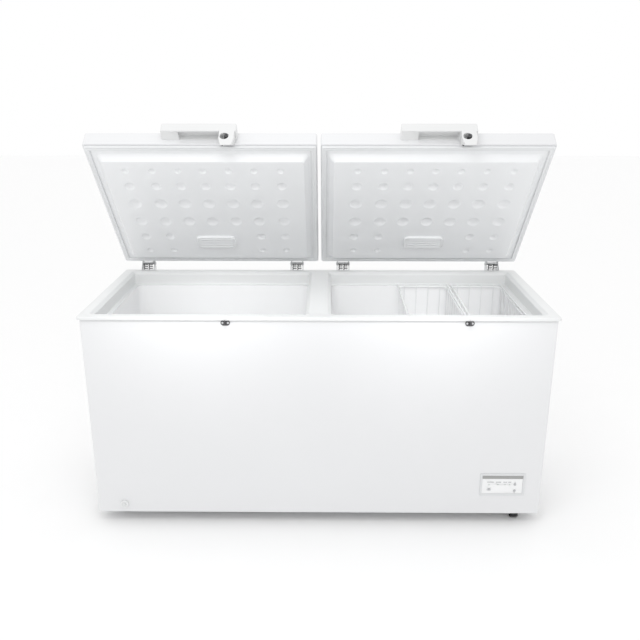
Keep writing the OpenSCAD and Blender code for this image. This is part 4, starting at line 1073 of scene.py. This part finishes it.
# a tree with named inputs; build(tree, inputs) returns the socket that holds the grown geometry
def growingTree(name, sizes, build, material):
    tree = bpy.data.node_groups.new(name, "GeometryNodeTree")
    tree.interface.new_socket("Geometry", in_out="INPUT", socket_type="NodeSocketGeometry")
    for label, kind, value in sizes:
        socket = tree.interface.new_socket(label, in_out="INPUT", socket_type=kind)
        if value is not None:
            socket.default_value = value
    tree.interface.new_socket("Geometry", in_out="OUTPUT", socket_type="NodeSocketGeometry")
    inputs = tree.nodes.new("NodeGroupInput").outputs
    grown = build(tree, inputs)
    real = addNode(tree, "GeometryNodeRealizeInstances", {"Geometry": grown})
    painted = addNode(tree, "GeometryNodeSetMaterial", {"Geometry": real.outputs["Geometry"],
                                                       "Material": materials[material]})
    output = tree.nodes.new("NodeGroupOutput")
    tree.links.new(painted.outputs["Geometry"], output.inputs["Geometry"])
    return tree


# runs a tree on drawn points or lines and keeps the result as a plain mesh
def grow(tree, points, lines, values, name, material, body, slotName, place=None, stands=(), sharpAngle=40):
    guide = bpy.data.meshes.new(name + "Guide")
    guide.from_pydata(points, lines, [])
    carrier = bpy.data.objects.new(name + "Guide", guide)
    bpy.context.scene.collection.objects.link(carrier)
    modifier = carrier.modifiers.new("grown", "NODES")
    modifier.node_group = tree
    for item in tree.interface.items_tree:
        if item.item_type == "SOCKET" and item.in_out == "INPUT" and item.name in values:
            modifier[item.identifier] = values[item.name]
    graph = bpy.context.evaluated_depsgraph_get()
    mesh = bpy.data.meshes.new_from_object(carrier.evaluated_get(graph))
    bpy.data.objects.remove(carrier)
    bm = bmesh.new()
    bm.from_mesh(mesh)
    if place is not None:
        bm.transform(place)
    markSharp(bm, sharpAngle)
    bm.to_mesh(mesh)
    bm.free()
    mesh.name = name
    return addPiece(mesh, name, material, body, stands)


# round wire along drawn lines, with bends of a set radius
def wireBuild(tree, inputs):
    curve = addNode(tree, "GeometryNodeMeshToCurve", {"Mesh": inputs["Geometry"]})
    bent = addNode(tree, "GeometryNodeFilletCurve", {
        "Curve": curve.outputs["Curve"], "Count": 6, "Radius": inputs["Bend Radius"], "Limit Radius": True},
                   mode="POLY")
    radius = addNode(tree, "ShaderNodeMath", {0: inputs["Wire Diameter"], 1: 0.5}, operation="MULTIPLY")
    circle = addNode(tree, "GeometryNodeCurvePrimitiveCircle", {"Resolution": 10})
    tree.links.new(radius.outputs[0], circle.inputs["Radius"])
    swept = addNode(tree, "GeometryNodeCurveToMesh", {
        "Curve": bent.outputs["Curve"], "Profile Curve": circle.outputs["Curve"], "Fill Caps": True})
    return swept.outputs["Mesh"]


wireTree = growingTree("bentWire", [("Wire Diameter", "NodeSocketFloat", 0.004),
                                    ("Bend Radius", "NodeSocketFloat", 0.01)], wireBuild, "coatedWire")


# a coil spring standing on each drawn point
def springBuild(tree, inputs):
    turn = addNode(tree, "GeometryNodeCurveSpiral", {
        "Resolution": 28, "Rotations": inputs["Turns"], "Start Radius": inputs["Coil Radius"],
        "End Radius": inputs["Coil Radius"], "Height": inputs["Free Height"]})
    circle = addNode(tree, "GeometryNodeCurvePrimitiveCircle",
                     {"Resolution": 10, "Radius": inputs["Wire Radius"]})
    swept = addNode(tree, "GeometryNodeCurveToMesh", {
        "Curve": turn.outputs["Curve"], "Profile Curve": circle.outputs["Curve"], "Fill Caps": True})
    placed = addNode(tree, "GeometryNodeInstanceOnPoints", {"Points": inputs["Geometry"],
                                                           "Instance": swept.outputs["Mesh"]})
    return placed.outputs["Instances"]


springTree = growingTree("coilSprings", [
    ("Turns", "NodeSocketFloat", 7.0), ("Coil Radius", "NodeSocketFloat", 0.0078),
    ("Wire Radius", "NodeSocketFloat", 0.0017), ("Free Height", "NodeSocketFloat", 0.067)], springBuild,
                         "springSteel")


# one screw on each drawn point, each turned by its own amount
def screwBuild(tree, inputs):
    head = addNode(tree, "GeometryNodeObjectInfo", {"Object": inputs["Screw"]})
    spin = addNode(tree, "FunctionNodeRandomValue", {"Seed": inputs["Seed"]}, data_type="FLOAT")
    spin.inputs[2].default_value = 0
    spin.inputs[3].default_value = math.pi
    along = addNode(tree, "ShaderNodeCombineXYZ", {"Z": spin.outputs[1]})
    placed = addNode(tree, "GeometryNodeInstanceOnPoints", {
        "Points": inputs["Geometry"], "Instance": head.outputs["Geometry"], "Rotation": inputs["Facing"]})
    turnedHeads = addNode(tree, "GeometryNodeRotateInstances", {
        "Instances": placed.outputs["Instances"], "Rotation": along.outputs["Vector"], "Local Space": True})
    return turnedHeads.outputs["Instances"]


screwTree = growingTree("screwHeads", [
    ("Screw", "NodeSocketObject", None), ("Facing", "NodeSocketVector", (0, 0, 0)),
    ("Seed", "NodeSocketInt", 7)], screwBuild, "brightSteel")


screwShape = {"radius": 3.5 * mm, "height": 2.4 * mm, "slotLength": 1.9 * mm, "slotWidth": 0.9 * mm,
              "slotDepth": 1.2 * mm}


# pan head with a cross recess, standing on the origin
def buildScrewHead():
    radius, tall = screwShape["radius"], screwShape["height"]
    turns = [2 * math.pi * i / 24 for i in range(24)]

    def ring(r, z):
        return [Vector((r * math.cos(a), r * math.sin(a), z)) for a in turns]

    def cross(scale, z):
        points = []
        for a in turns:
            toArm = (a + math.pi / 4) % (math.pi / 2) - math.pi / 4
            reach = min(screwShape["slotLength"], screwShape["slotWidth"] / 2 / max(abs(math.sin(toArm)),
                                                                                    0.01))
            points.append(Vector((reach * scale * math.cos(a), reach * scale * math.sin(a), z)))
        return points

    bm = bmesh.new()
    rings = [(1, 0), (1, 0.3), (0.93, 0.62), (0.76, 0.88), (0.6, 1)]
    loft(bm, [ring(radius * wide, tall * up) for wide, up in rings]
         + [cross(1, tall), cross(0.8, tall - screwShape["slotDepth"])], True, True)
    bmesh.ops.recalc_face_normals(bm, faces=bm.faces)
    mesh = bpy.data.meshes.new("screwHead")
    bm.to_mesh(mesh)
    bm.free()
    return bpy.data.objects.new("screwHead", mesh)


screwHead = buildScrewHead()


# ---- Hinges

springShape = {"turns": 9.0, "wire": 3.4 * mm}
hingeScrewAcross, hingeScrewUp = 14 * mm, (12 * mm, 34 * mm)
strikeScrewAcross, strikeScrewUp = 9 * mm, -21 * mm
plateThickness = 2.5 * mm


def middlesOf(node, place, count):
    low, high = localBox(node, place)
    xs = sorted((place.inverted() @ v.co).x for v in frame["nodes"][node].data.vertices)
    gaps = sorted(((b - a, a, b) for a, b in zip(xs, xs[1:])), reverse=True)[:count - 1]
    cuts = sorted(((a, b) for _, a, b in gaps))
    edges = [low.x] + [x for cut in cuts for x in cut] + [high.x]
    return [(edges[i] + edges[i + 1]) / 2 for i in range(0, len(edges), 2)]


def buildHinges():
    refine("hinge_bases", "hingeBrackets", "galvanised", "cabinet", 0.7 * mm)
    refine("hinge_pins", "hingeAxles", "brightSteel", "cabinet", 0.5 * mm)
    for side in sides:
        refine(side + "_hinge_leaves", side + "HingeArms", "galvanised", side + "_lid",
               0.6 * mm)
        refine(side + "_spring_heads", side + "SpringCaps", "galvanised", side + "_spring_head",
               0.6 * mm)
        low, high = cabinetBox(side + "_hinge_springs")
        outer = high.y - low.y
        wire = springShape["wire"]
        middleY = (low.y + high.y) / 2
        points = []
        for x in middlesOf(side + "_spring_heads", cabinetPlace, 2):
            points += [(x + across * (outer / 2 + 0.7 * mm), middleY, low.z + wire / 2)
                       for across in (-1, 1)]
        coils = grow(springTree, points, [], {
            "Turns": springShape["turns"], "Coil Radius": (outer - wire) / 2, "Wire Radius": wire / 2,
            "Free Height": high.z - low.z - wire}, side + "LiftSprings", "springSteel", "cabinet",
            "pin_steel", cabinetPlace, (side + "_hinge_springs",), 60)
        coils.parent = None
        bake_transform(coils)


buildHinges()
print("hinges made")


# ---- Screws

def buildScrews():
    low = cabinetBox("case_screws")[0]
    coverLow, coverHigh = cabinetBox("service_cover")
    baseLow = cabinetBox("hinge_bases")[0]
    strikes = middlesOf("lock_strikes", cabinetPlace, 2)
    front = [(x + across * strikeScrewAcross, low.y + plateThickness, strikeScrewUp)
             for x in strikes for across in (-1, 1)]
    inset = 8 * mm
    back = [(x, coverHigh.y, z) for x in (coverLow.x + inset, coverHigh.x - inset)
            for z in (coverLow.z + inset, coverHigh.z - inset)]
    plateBack = cabinetBox("back_panel")[1].y + plateThickness
    for x in middlesOf("hinge_bases", cabinetPlace, 4):
        back += [(x + across * hingeScrewAcross, plateBack, baseLow.z + up)
                 for across in (-1, 1) for up in hingeScrewUp]
    grow(screwTree, front, [], {"Screw": screwHead, "Facing": (math.pi / 2, 0, 0), "Seed": 3},
         "strikeScrews", "paleZinc", "cabinet", "bright_steel", cabinetPlace, ("case_screws",))
    grow(screwTree, back, [], {"Screw": screwHead, "Facing": (-math.pi / 2, 0, 0), "Seed": 11},
         "backScrews", "brightSteel", "cabinet", "bright_steel", cabinetPlace)


buildScrews()
print("screws made")


# ---- Locks, drain and rollers

def buildLocks():
    refine("lock_strikes", "strikePlates", "darkSteel", "cabinet", 0.4 * mm)
    for side in sides:
        refine(side + "_lock", side + "LockBarrel", "darkSteel", side + "_lock_cylinder",
               0.35 * mm)


drainShape = {"gripWidth": 5 * mm, "rim": 6 * mm}


def buildDrain():
    refine("drain_tube", "drainPipe", "drainPlastic", "cabinet", 0)
    low, high = cabinetBox("drain_cap")
    centre = ((low.x + high.x) / 2, low.y, (low.z + high.z) / 2)
    radius = (high.x - low.x) / 2
    seat = cabinetBox("front_panel")[0].y - 0.3 * mm - low.y
    bm = bmesh.new()
    recess = radius - drainShape["rim"]
    profile = [(0, 4 * mm), (recess - 1 * mm, 4 * mm), (recess, 3.2 * mm), (recess + 0.3 * mm, 1.6 * mm),
               (recess + 1.3 * mm, 0.9 * mm), (radius - 2.2 * mm, 0.9 * mm), (radius - 0.7 * mm, 1.5 * mm),
               (radius, 3 * mm), (radius, seat - 0.8 * mm), (radius - 0.5 * mm, seat), (6 * mm, seat),
               (6 * mm, high.y - low.y - 1 * mm), (5 * mm, high.y - low.y), (0, high.y - low.y)]
    addLathe(bm, profile, centre, "Y", 56)
    makePiece(bm, "drainPlug", "capPlastic", "outer_drain_plug", cabinetPlace,
              ("drain_cap",))
    bm = bmesh.new()
    half = drainShape["gripWidth"] / 2
    tall = radius - 5 * mm
    loops = [roundedLoop(centre[0] - w, centre[0] + w, centre[2] - h, centre[2] + h, 0, w * 0.9)
             for w, h in ((half + 0.6 * mm, tall), (half, tall - 0.6 * mm),
                          (half - 0.2 * mm, tall - 0.8 * mm), (half - 1 * mm, tall - 1.6 * mm))]
    loft(bm, [[Vector((p.x, low.y + depth, p.y)) for p in loop]
              for loop, depth in zip(loops, (4.4 * mm, 3 * mm, 0.9 * mm, 0.1 * mm))], True, True)
    makePiece(bm, "drainPlugGrip", "capPlastic", "outer_drain_plug", cabinetPlace)
    low, high = cabinetBox("drain_stopper")
    centre = ((low.x + high.x) / 2, (low.y + high.y) / 2, low.z)
    radius, tall = (high.x - low.x) / 2, high.z - low.z
    bm = bmesh.new()
    addLathe(bm, [(0, 0), (5 * mm, 0), (6 * mm, 1 * mm), (6 * mm, 12.4 * mm),
                  (radius - 0.6 * mm, 12.4 * mm), (radius, 13 * mm), (radius, 14.6 * mm),
                  (radius - 1.4 * mm, 16 * mm), (4.2 * mm, 16.4 * mm), (3 * mm, 17.6 * mm),
                  (3 * mm, tall - 2 * mm), (2.2 * mm, tall - 0.4 * mm), (0, tall)], centre, "Z", 40)
    makePiece(bm, "tankDrainStopper", "blackRubber", "inner_drain_plug", cabinetPlace,
              ("drain_stopper",))


rollerShape = {"tread": 1.2 * mm, "hub": 9 * mm, "webDepth": 6 * mm}


def buildRollers():
    refine("castor_brackets", "rollerForks", "galvanised", "cabinet", 0.6 * mm)
    refine("castor_axles", "rollerAxles", "brightSteel", "cabinet", 0.5 * mm)
    for name in ("front_left", "front_right", "rear_left", "rear_right"):
        low, high = cabinetBox(name + "_wheel")
        centre = Vector((low.x, (low.y + high.y) / 2, (low.z + high.z) / 2))
        radius, wide = (high.z - low.z) / 2, high.x - low.x
        edge, hub, web = rollerShape["tread"], rollerShape["hub"], rollerShape["webDepth"]
        half = [(3.05 * mm, 0), (hub - 2 * mm, 0), (hub - 1 * mm, 1 * mm), (hub, web),
                (radius - 5 * mm, web), (radius - 4 * mm, 0.8 * mm), (radius - 3.4 * mm, 0),
                (radius - edge, 0), (radius - 0.3 * mm, 0.4 * mm), (radius, edge)]
        profile = half + [(r, wide - x) for r, x in reversed(half)]
        bm = bmesh.new()
        rings = addLathe(bm, profile, centre, "X", 48)
        bridge(bm, rings[-1], rings[0])
        body = name + "_roller"
        makePiece(bm, name + "Roller", "blackNylon", body, cabinetPlace, (name + "_wheel",))


buildLocks()
buildDrain()
buildRollers()
print("locks, drain and rollers made")


# ---- Control panel

panelShape = {
    "stripHeight": 14 * mm,
    # start and length across, in mm from the middle
    "legendBars": ((-56, 24), (-24, 19), (3, 14), (21, 11)),
    "legendHeight": 10 * mm,
    "legendThickness": 2.8 * mm,
    "inkThickness": 0.15 * mm,
    "arrow": (2.9 * mm, 3.4 * mm, 7.5 * mm),     # half width, height, distance from its button's middle
    "powerRing": (7.6 * mm, 6.9 * mm),
}


def addInk(bm, outline, y):
    loft(bm, [[Vector((x, y, z)) for x, z in outline],
              [Vector((x, y - panelShape["inkThickness"], z)) for x, z in outline]], True, True)


def buildPanel():
    refine("control_bezel", "panelBezel", "bezelMoulding", "cabinet", 0.9 * mm)
    refine("control_fascia", "panelFascia", "fasciaMoulding", "cabinet", 0.4 * mm)
    refine("indicator_lenses", "panelLenses", "lensGreen", "cabinet", 0.2 * mm)
    low, high = cabinetBox("control_fascia")
    middleX, middleZ = (low.x + high.x) / 2, (low.z + high.z) / 2
    strip = panelShape["stripHeight"]
    # a dark grey strip along the fascia's top edge: painted shade under the bezel's overhang
    bm = bmesh.new()
    outline = [(low.x + 0.4 * mm, high.z - 0.3 * mm), (high.x - 0.4 * mm, high.z - 0.3 * mm),
               (high.x - 0.4 * mm, high.z - strip + 0.3 * mm), (low.x + 0.4 * mm, high.z - strip + 0.3 * mm)]
    loft(bm, [[Vector((x, y, z)) for x, z in outline] for y in (low.y + 5.9 * mm, low.y - 0.25 * mm)], True,
         True)
    stripPiece = makePiece(bm, "panelGripStrip", "overhangShadeGrey", "cabinet", cabinetPlace)
    addBevel(stripPiece, 0.5 * mm)
    # plain bars, arrows and a ring outline printed on the fascia
    bm = bmesh.new()
    thick = panelShape["legendThickness"] / 2
    for start, length in panelShape["legendBars"]:
        x0, x1 = middleX + start * mm, middleX + (start + length) * mm
        z = middleZ + panelShape["legendHeight"]
        addInk(bm, [(x0, z - thick), (x1, z - thick), (x1, z + thick), (x0, z + thick)], low.y)
    for node, shape in (("up_button", 1), ("down_button", -1)):
        keyLow, keyHigh = cabinetBox(node)
        x, z = (keyLow.x + keyHigh.x) / 2, (keyLow.z + keyHigh.z) / 2
        halfWide, tall, away = panelShape["arrow"]
        base = z + shape * away
        addInk(bm, [(x - halfWide, base), (x + halfWide, base), (x, base + shape * tall)], low.y)
    keyLow, keyHigh = cabinetBox("power_button")
    x, z = (keyLow.x + keyHigh.x) / 2, (keyLow.z + keyHigh.z) / 2
    turns = [math.radians(120 + 300 * i / 24) for i in range(25)]
    outer, inner = [[(x + radius * math.cos(a), z + radius * math.sin(a)) for a in turns]
                    for radius in panelShape["powerRing"]]
    for i in range(24):
        addInk(bm, [outer[i], outer[i + 1], inner[i + 1], inner[i]], low.y)
    makePiece(bm, "panelPrint", "printGrey", "cabinet", cabinetPlace)
    for name in ("power", "up", "down"):
        keyLow, keyHigh = cabinetBox(name + "_button")
        centre = ((keyLow.x + keyHigh.x) / 2, keyLow.y, (keyLow.z + keyHigh.z) / 2)
        deep = keyHigh.y - keyLow.y
        rim = low.y - keyLow.y
        bm = bmesh.new()
        addLathe(bm, [(0, 0.5 * mm), (2.6 * mm, 0.25 * mm), (3.7 * mm, 0), (4.3 * mm, 0.25 * mm),
                      (4.5 * mm, 0.8 * mm), (4.5 * mm, rim + 2.3 * mm), (6 * mm, rim + 2.3 * mm),
                      (6 * mm, rim + 3.5 * mm),
                      (1.5 * mm, rim + 3.5 * mm), (1.5 * mm, deep - 0.3 * mm), (1.2 * mm, deep), (0, deep)],
                 centre, "Y", 40)
        makePiece(bm, name + "Key", "buttonPlastic", name + "_key", cabinetPlace,
                  (name + "_button",))


buildPanel()
print("control panel made")


# ---- Wire baskets

basketShape = {
    "rimWire": 5.4 * mm,
    "meshWire": 3.2 * mm,
    "crossPitch": 54 * mm,       # wires that run across the basket
    "endPitch": 54 * mm,         # wires that run from front to back
    "bend": 22 * mm,
    "hookReach": 15 * mm,
    "rings": (0.3,),             # heights of the wires round the walls, as shares of the depth
}


def lineThrough(points, start, closed=False):
    count = len(points)
    return [(start + i, start + (i + 1) % count) for i in range(count if closed else count - 1)]


def evenly(low, high, pitch):
    count = max(2, round((high - low) / pitch))
    return [low + (high - low) * i / count for i in range(count + 1)]


def buildBasket(side):
    node = side + "_basket"
    body = side + "_wire_basket"
    low, high = cabinetBox(node)
    rim, wire = basketShape["rimWire"], basketShape["meshWire"]
    rimZ = high.z - rim / 2
    reach = basketShape["hookReach"]
    # the rim: a ring that lies on the ledges at both ends
    ring = roundedLoop(low.x + rim / 2, high.x - rim / 2, low.y + rim / 2, high.y - rim / 2, rimZ, 6 * mm, 5)
    grow(wireTree, ring, lineThrough(ring, 0, True), {"Wire Diameter": rim, "Bend Radius": 0.0},
         side + "BasketRim", "coatedWire", body, "coated_wire", cabinetPlace, (node,), 60)
    inset = 3 * mm + wire / 2
    x0, x1 = low.x + inset + wire, high.x - inset - wire
    y0, y1 = low.y + reach + wire, high.y - reach - wire
    floor = low.z + wire / 2
    topZ = rimZ - 1 * mm
    points, lines = [], []

    def add(path, closed=False):
        lines.extend(lineThrough(path, len(points), closed))
        points.extend(path)

    margin = 24 * mm
    for y in evenly(y0 + margin, y1 - margin, basketShape["crossPitch"]):
        add([(x0, y, topZ), (x0, y, floor), (x1, y, floor), (x1, y, topZ)])
    for x in evenly(x0 + margin, x1 - margin, basketShape["endPitch"]):
        add([(x, y0 - reach + 2 * mm, rimZ), (x, y0, rimZ - 1 * mm), (x, y0, floor + wire),
             (x, y1, floor + wire), (x, y1, rimZ - 1 * mm), (x, y1 + reach - 2 * mm, rimZ)])
    grow(wireTree, points, lines, {"Wire Diameter": wire, "Bend Radius": basketShape["bend"] * 0.45},
         side + "BasketMesh", "coatedWire", body, "coated_wire", cabinetPlace, (), 60)
    points, lines = [], []
    depth = topZ - floor
    for share in basketShape["rings"]:
        grown = inset + wire * 0.4
        add(roundedLoop(low.x + grown, high.x - grown, low.y + reach + wire * 0.4,
                        high.y - reach - wire * 0.4, floor + depth * share, basketShape["bend"], 6), True)
    add(roundedLoop(x0, x1, y0, y1, topZ - 8 * mm, basketShape["bend"], 6), True)
    grow(wireTree, points, lines, {"Wire Diameter": wire * 1.15, "Bend Radius": 0.0}, side + "BasketRings",
         "coatedWire", body, "coated_wire", cabinetPlace, (), 60)


buildBasket("left")
buildBasket("right")
print("baskets made")


# ---- Compressor bay and the parts that keep their CAD shape

# node: (piece, material, slot, edge rounding, steps in it)
bayPieces = {
    "base_plate": ("bayFloorPlate", "galvanised", "galvanised", 0.3 * mm, 2),
    "service_cover": ("rearCover", "galvanised", "back_steel", 0.3 * mm, 2),
    "cord_gland": ("cordGrommet", "blackRubber", "black_rubber", 0.6 * mm, 2),
    "compressor": ("compressorShell", "blackEnamel", "black_enamel", 0.8 * mm, 2),
    "compressor_grommets": ("rubberFeet", "blackRubber", "black_rubber", 1 * mm, 2),
    "relay_cover": ("relayCap", "blackNylon", "black_plastic", 1.5 * mm, 3),
    "control_board": ("controlCircuit", "circuitBoard", "circuit_board", 0.2 * mm, 2),
}


def buildBay():
    for node, (name, material, slotName, edge, steps) in bayPieces.items():
        refine(node, name, material, "cabinet", edge, steps)


keptNodes = {
    "cabinet_foam": "insulation",
    "evaporator_coil": "copperTube",
    "refrigerant_pipes": "copperTube",
    "filter_drier": "copperTube",
    "condenser_coil": "condenserEnamel",
}


def dressKeptNodes():
    for node, material in keptNodes.items():
        slots = frame["nodes"][node].data.materials
        slots.clear()
        slots.append(materials[material])


buildBay()
dressKeptNodes()
print("compressor bay made")
